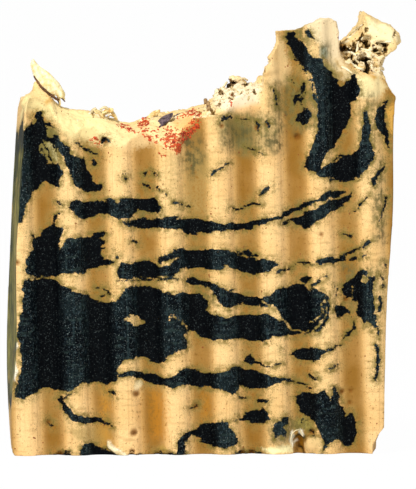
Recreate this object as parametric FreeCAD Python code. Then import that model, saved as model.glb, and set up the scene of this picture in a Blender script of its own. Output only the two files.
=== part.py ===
# A bar of handmade soap, sliced from a loaf with a wavy cutter and standing on its base edge.
# Its two cut faces carry upright flutes, its sides are the walls of the loaf mould, and its top
# is the rough, torn crest of the poured loaf, with dried plant bits and red clay grains stuck in it.
#
# Frame, in millimetres: +X to the right along the cut face, +Y back through the slice, +Z up.
# The origin is the middle of the base, on the surface that the bar stands on.

import FreeCAD, Part
import math
import os

from FreeCAD import Vector

# The slice
SLICE_DEPTH = 23.0          # between the mean planes of the two fluted faces
LOAF_HEIGHT = 69.0          # the crest beside the left mould wall

# Where the edges of the slice stand, each place as (height above the base, distance from the middle).
# The left wall is twisted: low down its front edge flares out, higher up its back edge bulges.
LEFT_FRONT_EDGE = [(0.0, -35.4), (9.5, -35.6), (19.0, -34.6), (36.0, -34.7), (50.0, -33.9), (69.0, -32.9)]
LEFT_BACK_EDGE = [(0.0, -34.2), (9.5, -34.9), (19.0, -35.4), (36.0, -34.7), (50.0, -34.1), (69.0, -32.7)]
RIGHT_EDGE = [(0.0, 35.7), (12.0, 35.9), (33.0, 36.7), (47.0, 37.7), (58.0, 37.7), (68.0, 38.1)]
RIGHT_BACK_INSET = 0.4      # the right wall runs in this much towards the back

# The wavy cut
FLUTE_PITCH = 9.6           # crest to crest
FLUTE_RISE = 2.4            # crest to trough
FLUTE_LEAN_DEG = 1.9        # the flutes lean to the left
FIRST_TROUGH = -27.9        # the first trough from the left, at the base

# The torn crest, as (distance from the middle, height at the front face, height of the ridge).
# These and all other heights on the crest are measured from LOAF_HEIGHT.
CREST = [
    (-38.0, -3.4, -2.6), (-33.4, -1.0, -0.3), (-31.0, -2.0, 0.3), (-28.4, -4.2, 0.2),
    (-26.6, -5.8, -2.1), (-22.5, -8.8, -3.7), (-17.6, -10.0, -4.6), (-14.6, -10.0, -5.8),
    (-12.4, -10.1, -6.3), (-9.0, -10.3, -4.8), (-5.0, -10.8, -4.2), (-2.4, -9.3, -3.8),
    (0.2, -6.2, -3.0), (3.4, -4.7, -1.6), (6.8, -3.6, 0.9), (9.6, -2.0, 0.9), (12.6, -0.4, 2.2),
    (16.4, 2.4, 6.0), (23.0, 5.0, 7.6), (29.0, 4.4, 7.0), (32.6, 3.2, 6.6), (35.2, 2.0, 4.6),
    (37.0, 0.0, 0.4), (40.0, -1.4, -1.2),
]
RIDGE_DEPTH = 6.5           # from the front face back to the ridge
SADDLE_DEPTH = 14.0         # from the front face back to the line where the crest starts to fall
SADDLE_DROP = 0.9           # of that line under the ridge
BACK_SHARE = 0.7            # the back edge lies under the ridge by this share of the front edge's drop
TEAR_STEP = 1.7             # between the corners of the facets that the crest is torn into
TEAR_RELIEF = 0.42          # how far those corners stand in or out

# The torn peak in the front face, its outline as (distance from the middle, height)
PEAK_OUTLINE = [
    (12.2, -5.0), (12.6, 3.0), (13.0, 4.8), (14.2, 6.0), (13.4, 6.7), (14.2, 7.6), (15.2, 9.2),
    (15.1, 11.8), (19.0, 12.0), (20.6, 12.8), (22.4, 13.5), (23.4, 14.1), (25.4, 14.2), (26.8, 13.4),
    (27.2, 11.0), (27.2, 8.4), (28.0, 6.4), (30.4, 4.4), (31.4, -5.0),
]
PEAK_DEPTH = 9.0
PEAK_TAPER = 0.8            # size of its back against its front
PEAK_LAYERS = 4             # of facets from its front to its back

# The torn lump behind the peak, which hangs out over the right wall, outlined in the same way
LUMP_OUTLINE = [
    (25.8, -3.5), (27.8, 6.0), (28.4, 9.6), (29.6, 10.7), (31.2, 11.6), (31.9, 13.2), (32.4, 15.3),
    (33.6, 14.7), (35.1, 13.8), (36.7, 13.3), (38.1, 12.4), (39.1, 11.2), (39.5, 9.4), (37.8, 8.9),
    (36.8, 6.8), (36.0, 5.0), (35.8, 2.5), (36.6, -3.5),
]
LUMP_FRONT = 4.0            # from the front face back to the lump's front
LUMP_DEPTH = 13.0
LUMP_TAPER = 0.86           # size of its front and back against its middle
LUMP_LAYERS = 7             # of facets from its front to its back

# Crevices torn into the front of that lump, as (distance from the middle, height, width, height of it)
CREVICES = [
    (29.0, 8.4, 1.8, 1.5), (30.8, 9.6, 1.7, 2.4), (33.0, 10.0, 1.9, 2.1), (29.3, 6.4, 1.9, 1.0),
    (32.0, 6.2, 2.4, 3.0), (35.9, 9.2, 3.0, 0.9), (34.2, 4.4, 1.2, 2.2),
]
CREVICE_DEPTH = 3.4

# Lumps of crumbled soap on the crest, as (distance from the middle, height of the top, radius, depth)
CRUMBS = [
    (-32.2, -0.2, 1.5, 4.4), (5.3, 1.0, 1.3, 7.4), (8.1, 3.2, 1.5, 7.8), (10.4, 1.7, 1.3, 7.6),
    (5.8, -0.6, 1.3, 4.6), (8.8, 0.4, 1.4, 4.4), (12.9, 3.3, 1.1, 6.6), (3.0, -2.4, 1.1, 4.4),
    (-18.0, -4.1, 1.0, 6.8),
]

# Breaks and voids
CHIP_WIDTH = 2.1            # of the chip off the base corner at the right wall
CHIP_HEIGHT = 5.0
CHIP_SKEW_DEG = 9.0         # the chip runs out of the side wall towards the back
PIT_PLACE = 19.5            # of the void in the front of the base, from the middle
PIT_WIDTH = 2.8
PIT_HEIGHT = 4.2
PIT_DEPTH = 2.8
BEAD_PLACE = 22.3           # of the round bead of soap beside the void
BEAD_RADIUS = 1.8
NICK_HEIGHT = 0.8           # of the shallow breaks along the front of the base
NICK_DEPTH = 2.2
NICKS = [(-27.8, 3.4), (-12.6, 1.4), (-7.4, 4.8), (9.4, 4.8)]   # middle and length of each
EDGE_NOTCHES = [(22.2, 1.6), (12.9, 3.4)]   # breaks in the left front edge: height and length of each
EDGE_NOTCH_WIDTH = 1.4

# The stub of soap on the left shoulder that the dried flake leans on
NUB_PLACE = -30.3
NUB_DEPTH = 5.4             # from the front face
NUB_WIDTH = 2.9
NUB_ROOT = 1.0              # from LOAF_HEIGHT down to where it is widest
NUB_HEIGHT = 2.4            # above LOAF_HEIGHT

# The dried flake on the left shoulder, outlined as (distance from the middle, height)
FLAKE_OUTLINE = [
    (-31.4, 6.4), (-30.5, 5.9), (-29.6, 4.9), (-27.8, 3.8), (-26.2, 1.9), (-24.8, -0.3), (-25.2, -1.4),
    (-26.2, -0.7), (-27.6, 0.0), (-29.2, 1.2), (-30.2, 2.3), (-30.9, 3.1), (-31.6, 5.3),
]
FLAKE_THICKNESS = 1.7
STALK_RADIUS = 0.4
STALK_FEET = [-28.6, -26.0]     # where the flake's two stalks stand on the soap

# Dried petals, as (distance from the middle, depth, length, width), and how each is turned and tilted
PURPLE_PETALS = [(-6.6, 3.6, 4.8, 1.9), (-3.2, 5.4, 2.8, 1.3)]
PURPLE_ANGLES_DEG = [(18, 40), (24, 30)]
PALE_PETALS = [(-8.6, 6.6, 3.0, 1.5), (-19.4, 7.0, 1.9, 1.2), (-17.6, 6.0, 2.4, 1.4), (-16.0, 6.6, 1.8, 1.3)]
PALE_ANGLES_DEG = [(20, 34), (60, 52), (10, 30), (130, 42)]
PETAL_THICKNESS = 0.5

# Dried stems, as (distance from the middle, depth, length), and how each is turned and tilted
STEMS = [(2.3, 1.6, 2.6), (2.0, 4.6, 1.6)]
STEM_ANGLES_DEG = [(0, -55), (50, -60)]
STEM_DIAMETER = 0.75

# Crushed red clay on the slope of the crest
GRAIN_SIZE = 1.0
GRAIN_COUNT = 26
GRAIN_CENTRE = (23.1, 3.2)  # distance from the first trough, depth from the front face
GRAIN_SPREAD = (7.4, 2.6)   # half of the patch's width and depth
GRAIN_TILT_DEG = 35.0

EGG_RINGS = 5               # bands of facets from the top of a crumb to its bottom
EGG_SPOKES = 8              # facets round a crumb
GOLDEN_TURN_DEG = 137.508   # spreads the grains evenly, as seeds lie in a flower head
SOCKET_DEPTH = 0.45         # how far each bit is pressed into the crest
OVERCUT = 5.0               # spare length on tools that cut right through

FRONT = -SLICE_DEPTH / 2
BACK = SLICE_DEPTH / 2
FACE = FRONT - FLUTE_RISE / 2   # where the crests of the front flutes stand
TALLEST = 90.0              # above everything


def upright_edge(places, y):
    """One upright edge of the slice at a depth, carried on straight past the base and the crest."""
    points = [Vector(x, y, z) for z, x in places]
    below = Vector(points[0].x, y, -OVERCUT)
    above = Vector(points[-1].x, y, TALLEST)
    curve = Part.BSplineCurve()
    curve.interpolate(points)
    return [Part.makeLine(below, points[0]), curve.toShape(), Part.makeLine(points[-1], above)]


def wall_outline(left_places, right_places, y):
    """The outline of the slice at a depth, from below the base to above everything."""
    left = upright_edge(left_places, y)
    right = upright_edge(right_places, y)
    below = Part.makeLine(left[0].Vertexes[0].Point, right[0].Vertexes[0].Point)
    above = Part.makeLine(right[-1].Vertexes[-1].Point, left[-1].Vertexes[-1].Point)
    return Part.Wire([below] + right + [above] + left[::-1])


def mould_block():
    """What stands between the two mould walls."""
    right_back = [(z, x - RIGHT_BACK_INSET) for z, x in RIGHT_EDGE]
    front = wall_outline(LEFT_FRONT_EDGE, RIGHT_EDGE, FRONT - OVERCUT)
    back = wall_outline(LEFT_BACK_EDGE, right_back, BACK + OVERCUT)
    return Part.makeLoft([front, back], True, True)


def wave(mean_y):
    """The cutter's wave from left to right, as arcs that are crests and troughs by turns."""
    half = FLUTE_PITCH / 2
    rise = FLUTE_RISE / 2
    spare = 2
    arcs = 2 * (math.ceil((RIGHT_EDGE[-1][1] - LEFT_BACK_EDGE[0][1]) / FLUTE_PITCH) + 2 * spare)
    x = FIRST_TROUGH - half / 2 - 2 * spare * half
    side = 1
    edges = []
    for _ in range(arcs):
        middle = Vector(x + half / 2, mean_y + side * rise, 0)
        edges.append(Part.Arc(Vector(x, mean_y, 0), middle, Vector(x + half, mean_y, 0)).toShape())
        side = -side
        x += half
    return edges


def fluted_slab():
    """Everything between the two wavy cuts, which lean a little to the left."""
    front = wave(FRONT)
    back = wave(BACK)
    left_end = Part.makeLine(back[0].Vertexes[0].Point, front[0].Vertexes[0].Point)
    right_end = Part.makeLine(front[-1].Vertexes[-1].Point, back[-1].Vertexes[-1].Point)
    section = Part.Face(Part.Wire(front + [right_end] + back[::-1] + [left_end]))
    slab = section.extrude(Vector(0, 0, TALLEST + 2 * OVERCUT))
    slab.translate(Vector(0, 0, -OVERCUT))
    slab.rotate(Vector(0, 0, 0), Vector(0, 1, 0), -FLUTE_LEAN_DEG)
    return slab


def under_base():
    """Everything below the flat base."""
    size = 2 * TALLEST
    return Part.makeBox(size, size, size, Vector(-size / 2, -size / 2, -size))


def tear(i, j):
    """How far a corner of the torn soap stands out, from -1 to 1, with no pattern to it."""
    return math.sin(math.radians(GOLDEN_TURN_DEG * (i * i + 3 * i * j + 7 * j * j)))


def crest_lines():
    """The smooth surface that the torn crest follows, laid through its four lines."""
    front_line = [Vector(x, FACE, front) for x, front, _ in CREST]
    ridge_line = [Vector(x, FRONT + RIDGE_DEPTH, ridge) for x, _, ridge in CREST]
    saddle_line = [Vector(x, FRONT + SADDLE_DEPTH, ridge - SADDLE_DROP) for x, _, ridge in CREST]
    back_line = [
        Vector(x, BACK + FLUTE_RISE / 2, ridge - BACK_SHARE * (ridge - front)) for x, front, ridge in CREST
    ]
    surface = Part.BSplineSurface()
    surface.interpolate([front_line, ridge_line, saddle_line, back_line])
    return surface


def crest_corners():
    """The corners of the crest's facets, in rows from left to right."""
    surface = crest_lines()
    near, far, left, right = surface.bounds()
    columns = math.ceil((CREST[-1][0] - CREST[0][0]) / TEAR_STEP)
    rows = math.ceil((SLICE_DEPTH + FLUTE_RISE) / TEAR_STEP)
    corners = []
    for j in range(rows + 1):
        row = []
        for i in range(columns + 1):
            place = surface.value(near + (far - near) * j / rows, left + (right - left) * i / columns)
            row.append(place + Vector(0, 0, LOAF_HEIGHT + TEAR_RELIEF * tear(i, j)))
        corners.append(row)
    return corners


def polygon(points):
    """A flat face through points."""
    return Part.Face(Part.makePolygon(points + points[:1]))


def closed_solid(faces):
    """The solid that flat faces close in."""
    shell = Part.makeShell(faces)
    shell.sewShape()
    solid = Part.Solid(Part.Shell(shell.Faces))
    return solid if solid.Volume > 0 else solid.reversed()


def crest_tool():
    """Everything above the torn crest."""
    rows = crest_corners()
    faces = []
    for j in range(len(rows) - 1):
        for i in range(len(rows[j]) - 1):
            a, b, c, d = rows[j][i], rows[j][i + 1], rows[j + 1][i + 1], rows[j + 1][i]
            if (i + j) % 2:
                faces += [polygon([a, b, c]), polygon([a, c, d])]
            else:
                faces += [polygon([a, b, d]), polygon([b, c, d])]
    height = LOAF_HEIGHT + TALLEST
    top = [Vector(p.x, p.y, height) for p in (rows[0][0], rows[0][-1], rows[-1][-1], rows[-1][0])]
    left = [row[0] for row in rows]
    right = [row[-1] for row in rows]
    faces += [polygon(rows[0] + [top[1], top[0]]), polygon(rows[-1] + [top[2], top[3]])]
    faces += [polygon(left + [top[3], top[0]]), polygon(right + [top[2], top[1]]), polygon(top)]
    return closed_solid(faces)


def outline_wire(outline, y, size, layer=0, relief=0):
    """A closed outline on the crest, at a depth, drawn in towards its own foot by a size and torn."""
    foot_x = (outline[0][0] + outline[-1][0]) / 2
    foot_z = (outline[0][1] + outline[-1][1]) / 2
    points = []
    for i, (x, z) in enumerate(outline):
        across = foot_x + size * (x - foot_x) + relief * tear(i, layer)
        up = LOAF_HEIGHT + foot_z + size * (z - foot_z) + relief * tear(layer, i)
        points.append(Vector(across, y, up))
    return Part.makePolygon(points + points[:1])


def peak():
    """The torn peak, whose front is cut clean and which gets smaller towards its back."""
    sections = [outline_wire(PEAK_OUTLINE, FRONT - FLUTE_RISE, 1)]
    for i in range(PEAK_LAYERS + 1):
        share = i / PEAK_LAYERS
        size = 1 - (1 - PEAK_TAPER) * share
        relief = TEAR_RELIEF if i else 0
        sections.append(outline_wire(PEAK_OUTLINE, FRONT + FLUTE_RISE + PEAK_DEPTH * share, size, i, relief))
    return Part.makeLoft(sections, True, True)


def lump():
    """The torn lump behind the peak, fullest at half its depth."""
    sections = []
    for i in range(LUMP_LAYERS + 1):
        share = i / LUMP_LAYERS
        size = 1 - (1 - LUMP_TAPER) * (2 * share - 1) ** 4
        y = FRONT + LUMP_FRONT + LUMP_DEPTH * share
        sections.append(outline_wire(LUMP_OUTLINE, y, size, i, TEAR_RELIEF))
    return Part.makeLoft(sections, True, True)


def egg(width, depth, height, centre):
    """An egg-shaped lump of the given sizes, faceted as crumbled soap is."""
    rings = []
    for j in range(EGG_RINGS + 1):
        fall = math.pi * j / EGG_RINGS
        ring = []
        for i in range(EGG_SPOKES):
            turn = 2 * math.pi * i / EGG_SPOKES
            across = width / 2 * math.sin(fall) * math.cos(turn)
            back = depth / 2 * math.sin(fall) * math.sin(turn)
            ring.append(centre + Vector(across, back, height / 2 * math.cos(fall)))
        rings.append(ring)
    faces = []
    for j in range(EGG_RINGS):
        for i in range(EGG_SPOKES):
            k = (i + 1) % EGG_SPOKES
            upper = rings[j][i:i + 1] if j == 0 else [rings[j][i], rings[j][k]]
            lower = rings[j + 1][i:i + 1] if j == EGG_RINGS - 1 else [rings[j + 1][k], rings[j + 1][i]]
            faces.append(polygon(upper + lower))
    return closed_solid(faces)


def crevices():
    """The crevices torn into the lump's front."""
    y = FRONT + LUMP_FRONT
    return [egg(width, CREVICE_DEPTH, tall, Vector(x, y, LOAF_HEIGHT + z)) for x, z, width, tall in CREVICES]


def crumbs():
    """Lumps of crumbled soap that stand out of the crest, each a little wider than tall."""
    return [
        egg(2.4 * radius, 2.2 * radius, 2 * radius, Vector(x, FRONT + depth, LOAF_HEIGHT + top - radius))
        for x, top, radius, depth in CRUMBS
    ]


def nub():
    """The stub of soap that the dried flake leans on."""
    foot = Vector(NUB_PLACE, FRONT + NUB_DEPTH, LOAF_HEIGHT - NUB_ROOT)
    return egg(NUB_WIDTH, NUB_WIDTH, 2 * (NUB_ROOT + NUB_HEIGHT), foot)


def corner_chip():
    """The wedge that is broken off the base corner at the right wall."""
    wall = RIGHT_EDGE[0][1]
    corners = [
        Vector(wall - CHIP_WIDTH, 0, -OVERCUT),
        Vector(wall - CHIP_WIDTH, 0, 0.3 * CHIP_HEIGHT),
        Vector(wall - 0.5 * CHIP_WIDTH, 0, 0.72 * CHIP_HEIGHT),
        Vector(wall + 0.05 * CHIP_WIDTH, 0, CHIP_HEIGHT),
        Vector(wall + OVERCUT, 0, CHIP_HEIGHT + OVERCUT),
        Vector(wall + OVERCUT, 0, -OVERCUT),
    ]
    wedge = polygon(corners).extrude(Vector(0, SLICE_DEPTH + 2 * OVERCUT, 0))
    wedge.translate(Vector(0, FRONT - OVERCUT, 0))
    wedge.rotate(Vector(wall - CHIP_WIDTH, FRONT, 0), Vector(0, 0, 1), -CHIP_SKEW_DEG)
    return wedge


def edge_notches():
    """The breaks in the front edge at the left wall."""
    x = LEFT_FRONT_EDGE[0][1]
    return [
        egg(2 * EDGE_NOTCH_WIDTH, 2.4 * EDGE_NOTCH_WIDTH, length, Vector(x, FRONT, z))
        for z, length in EDGE_NOTCHES
    ]


def base_nicks():
    """The shallow breaks along the front of the base."""
    return [egg(length, 2 * NICK_DEPTH, 2 * NICK_HEIGHT, Vector(x, FACE, 0)) for x, length in NICKS]


def pit():
    """The void in the front of the base."""
    return egg(PIT_WIDTH, 2 * PIT_DEPTH, 1.3 * PIT_HEIGHT, Vector(PIT_PLACE, FRONT, 0.35 * PIT_HEIGHT))


def bead():
    """The round bead of soap that shows beside the void, sunk in the front face."""
    return Part.makeSphere(BEAD_RADIUS, Vector(BEAD_PLACE, FRONT + 0.35 * BEAD_RADIUS, 1.06 * BEAD_RADIUS))


def soap():
    """The whole bar of soap before the bits on its crest are pressed in."""
    body = mould_block().cut(crest_tool())
    body = body.fuse([peak()] + crumbs())
    body = body.common(fluted_slab())
    torn = lump().cut(crevices())
    body = body.fuse([torn, nub(), bead()])
    return body.cut([under_base(), corner_chip(), pit()] + base_nicks() + edge_notches())


def crest_height(body, x, y):
    """The height of the crest above a point of the base."""
    ray = Part.makeLine(Vector(x, y, LOAF_HEIGHT / 2), Vector(x, y, TALLEST + OVERCUT))
    return body.common(ray).BoundBox.ZMax


def place(shape, body, x, depth, turn_deg, tilt_deg):
    """Lays a bit on the crest, turned and tilted, and pressed in by SOCKET_DEPTH."""
    y = FRONT + depth
    shape.rotate(Vector(0, 0, 0), Vector(0, 0, 1), turn_deg)
    shape.rotate(Vector(0, 0, 0), Vector(1, 0, 0), tilt_deg)
    shape.translate(Vector(x, y, crest_height(body, x, y) - shape.BoundBox.ZMin - SOCKET_DEPTH))
    return shape


def petal(length, width):
    """One dried petal: a pointed oval between two arcs."""
    tip = Vector(length / 2, 0, 0)
    side = Vector(0, width / 2, 0)
    rim = Part.Wire([Part.Arc(-tip, side, tip).toShape(), Part.Arc(tip, -side, -tip).toShape()])
    return Part.Face(rim).extrude(Vector(0, 0, PETAL_THICKNESS))


def petals(body, spots, angles):
    """Dried petals laid on the crest."""
    return [
        place(petal(length, width), body, x, depth, *turn_and_tilt)
        for (x, depth, length, width), turn_and_tilt in zip(spots, angles)
    ]


def stems(body):
    """The bits of dried stem on the crest."""
    return [
        place(Part.makeCylinder(STEM_DIAMETER / 2, length), body, x, depth, *turn_and_tilt)
        for (x, depth, length), turn_and_tilt in zip(STEMS, STEM_ANGLES_DEG)
    ]


def clay_grains(body):
    """The crushed red clay grains on the slope of the crest."""
    grains = []
    for i in range(GRAIN_COUNT):
        turn = i * GOLDEN_TURN_DEG
        out = math.sqrt((i + 0.5) / GRAIN_COUNT)
        x = FIRST_TROUGH + GRAIN_CENTRE[0] + GRAIN_SPREAD[0] * out * math.cos(math.radians(turn))
        depth = GRAIN_CENTRE[1] + GRAIN_SPREAD[1] * out * math.sin(math.radians(turn))
        size = GRAIN_SIZE * (0.75 + 0.25 * math.sin(3 * i))
        grain = Part.makeBox(size, 0.8 * size, 0.9 * size, Vector(-size / 2, -0.4 * size, -0.45 * size))
        grains.append(place(grain, body, x, depth, turn, GRAIN_TILT_DEG))
    return grains


def corner_flake(body):
    """The stiff dried flake that leans on the nub and stands on its two stalks."""
    y = FRONT + NUB_DEPTH
    plate = Part.Face(outline_wire(FLAKE_OUTLINE, y - FLAKE_THICKNESS / 2, 1))
    flake = plate.extrude(Vector(0, FLAKE_THICKNESS, 0))
    stalks = []
    for foot_x, top in zip(STALK_FEET, (FLAKE_OUTLINE[8], FLAKE_OUTLINE[7])):
        foot = Vector(foot_x, y, crest_height(body, foot_x, y) - SOCKET_DEPTH)
        run = Vector(top[0], y, LOAF_HEIGHT + top[1] + STALK_RADIUS) - foot
        stalks.append(Part.makeCylinder(STALK_RADIUS, run.Length, foot, run))
    return flake.fuse(stalks)


def main():
    os.makedirs("parts", exist_ok=True)
    body = soap()
    groups = {
        "corner_flake": [corner_flake(body)],
        "purple_petals": petals(body, PURPLE_PETALS, PURPLE_ANGLES_DEG),
        "pale_petals": petals(body, PALE_PETALS, PALE_ANGLES_DEG),
        "dried_stems": stems(body),
        "clay_grains": clay_grains(body),
    }
    placed = []
    for name, bits in groups.items():
        kept = []
        for bit in bits:
            clear = bit.cut(placed) if placed else bit
            kept.append(clear)
            placed.append(clear)
        Part.makeCompound(kept).exportStep(os.path.join("parts", name + ".step"))
    body.cut(placed).exportStep(os.path.join("parts", "soap_bar.step"))


main()
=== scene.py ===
# The looks of a handmade bar of soap that stands on its base edge: waxy tan soap with charcoal swirls,
# wavy cut faces, a torn crest with crumbs, dried plant bits and crushed red clay.
import bpy
import bmesh
import math
import numpy as np
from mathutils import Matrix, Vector, noise
from mathutils.bvhtree import BVHTree


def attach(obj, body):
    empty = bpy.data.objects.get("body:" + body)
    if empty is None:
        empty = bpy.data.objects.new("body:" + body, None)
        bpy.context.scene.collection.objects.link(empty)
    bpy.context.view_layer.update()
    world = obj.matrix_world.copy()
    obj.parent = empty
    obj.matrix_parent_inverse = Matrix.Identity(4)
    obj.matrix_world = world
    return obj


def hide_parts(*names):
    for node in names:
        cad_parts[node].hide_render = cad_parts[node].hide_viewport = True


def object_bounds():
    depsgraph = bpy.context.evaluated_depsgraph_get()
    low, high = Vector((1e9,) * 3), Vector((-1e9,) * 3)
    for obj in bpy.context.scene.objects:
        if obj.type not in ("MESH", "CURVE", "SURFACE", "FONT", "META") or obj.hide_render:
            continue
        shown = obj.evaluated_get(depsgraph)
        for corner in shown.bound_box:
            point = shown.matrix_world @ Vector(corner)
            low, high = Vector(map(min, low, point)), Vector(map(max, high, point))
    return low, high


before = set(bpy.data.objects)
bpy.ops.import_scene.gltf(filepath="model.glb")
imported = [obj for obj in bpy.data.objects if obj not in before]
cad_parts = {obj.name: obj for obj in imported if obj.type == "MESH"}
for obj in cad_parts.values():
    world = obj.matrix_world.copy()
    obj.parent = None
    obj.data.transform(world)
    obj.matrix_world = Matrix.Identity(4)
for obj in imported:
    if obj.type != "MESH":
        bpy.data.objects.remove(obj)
cad_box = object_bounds()
noise.seed_set(5)     # the vector noise is the same each time

MM = 0.001
TINY = 1e-9

# The bar, in millimetres, as in the part's source
SLICE_DEPTH = 23.0
FLUTE_PITCH = 9.6
FLUTE_RISE = 2.4
FLUTE_LEAN = math.tan(math.radians(1.9))
FIRST_TROUGH = -27.9
FRONT = -SLICE_DEPTH / 2
BACK = SLICE_DEPTH / 2
FACE = FRONT - FLUTE_RISE / 2

# The photograph's frame: where the middle of the base lies in it, its scale, and the way that it looks
PX_MIDDLE = 198.0
PX_BASE = 455.5
PX_PER_MM = 5.25
PHOTO_WIDTH = 416
PHOTO_HEIGHT = 489
VIEW_TURN = math.radians(-4.6)
VIEW_RISE = math.radians(3.0)
VIEW_DISTANCE = 1.5
VIEW_AHEAD = Vector((-math.sin(VIEW_TURN) * math.cos(VIEW_RISE),
                     math.cos(VIEW_TURN) * math.cos(VIEW_RISE), -math.sin(VIEW_RISE)))
VIEW_DEEPEST = 9.0          # what lies farther behind the face is taken as if it lay here
REACH = 14.0                # no place counts as farther than this from an outline, in pixels

# The fineness of the soap's skin, in millimetres
SKIN_STEP = 0.36
SKIN_TRIANGLES = 188000     # most of them on the front and on the crest
FINE_FRONT = 3.5            # so far behind the middle of the cut all its triangles are kept
FINE_CREST = 13.0           # and so far on the crest
SNAP_REACH = 0.3            # skin closer than this to a wavy cut is laid exactly on it
SNAP_FACING = 0.2           # where it faces the front or the back at least by this much

# The torn crest, in millimetres
CREST_FOOT = 57.0           # it lies above this height
WALL_TOP = 67.5             # the mould walls end here
EDGE_TOP = 66.0             # behind the peak's cut face all above this is torn
TORN_FACING = 0.25          # how far upwards a face looks that is torn all the same
SEEN_DEPTH = 11.0           # the photograph shows the crest so far behind the middle of the cut
UNSEEN_CRUMBLED = 0.3       # how strongly it has crumbled behind that
TORN_MIDDLE = 0.16          # height of the middle and small roughness of the torn crest
TORN_FINE = 0.12
CRUMBLE = 0.7               # height of the strands and hollows where the soap has crumbled
CRUMBLE_SUNK = 0.35         # and the share of it that lies below the surface
STRAND_SHARPNESS = 4.4      # how narrow the strands are for their spacing
HOLLOW_IN = 0.8             # the share of a hollow's depth that goes back, and the one that goes down
HOLLOW_DOWN = 0.4

# The left corner is drawn in towards its tip, in millimetres
LEAN_FOOT = 65.0
LEAN_HEIGHT = 3.8
LEAN_EDGE = -31.0
LEAN_WIDTH = 3.0
LEAN_STRENGTH = 0.11

# What lies on the bar, in millimetres
CLAY_DEPTH = 9.0            # the clay lies no farther back than this
CLAY_SPREAD = 1.35          # and spreads past its ovals
GRAIN_FOOT = 58.2           # its grains lie above this height
STAIN_DEPTH = 12.0          # the tinted places go as far back as this
LUMP_LEFT = 27.0            # the lump over the right wall starts here
LUMP_CRUMBS = 0.3           # and carries this share of the crumbs

# The charcoal behind the face and on the mould walls, in millimetres
TROUGH_SHADE_SHIFT = 0.5          # the painted shade of a trough lies to its right by this much
WANDER_DEPTH = 7.0          # the swirls wander away from the photograph's over this depth
WANDER_DOWN = 0.9           # the share of their wandering that goes up or down
WALL_EDGE = 30.0            # past this the charcoal is drawn back along a mould wall
WALL_DRAW = 0.35
SMEAR_FOOT = 8.0            # the walls are smeared between these heights
SMEAR_TOP = 60.0
SMEAR_FADE = 6.0            # fading over this height
SMEAR_LEAST = 0.1           # to this strength

# Smooth random offsets: waves on a millimetre, seed, and how far they shift
DRIFTS = {
    "wander_wide": (0.055, 1, 15.0),      # the swirls behind the face, in millimetres
    "wander_close": (0.13, 2, 4.0),
    "fray_coarse": (0.75, 3, 1.4),        # the edges of swirls and tints, in pixels
    "fray_fine": (1.9, 4, 0.8),
    "flow": (1.3, 5, 2.4),                # the swirls up and down along their flow lines, in pixels
    "hollow_edge": (0.45, 7, 5.0),        # the edges of the hollows, in pixels
    "smear_edge": (0.16, 8, 7.0),         # the ends of the smears on the walls, in millimetres
}
FLOW_STRETCH = (0.16, 0.5, 1.0)           # the flow lines lie down, so their waves are drawn out

# What is strewn on the crest, in millimetres: spacing, number on a square millimetre, smallest and largest
# size, raggedness, how deep it is sunk, seed
STREWN = {
    "red_grains": (0.36, 3.6, 0.3, 0.85, 0.3, 0.05, 3),
    "strewn_crumbs": (0.7, 0.6, 0.35, 1.1, 0.55, 0.15, 5),
    "strewn_bits": (1.1, 0.4, 0.3, 0.8, 0.3, 0.1, 9),
}
ANY_TURN = (6.283, 6.283, 6.283)

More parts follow.
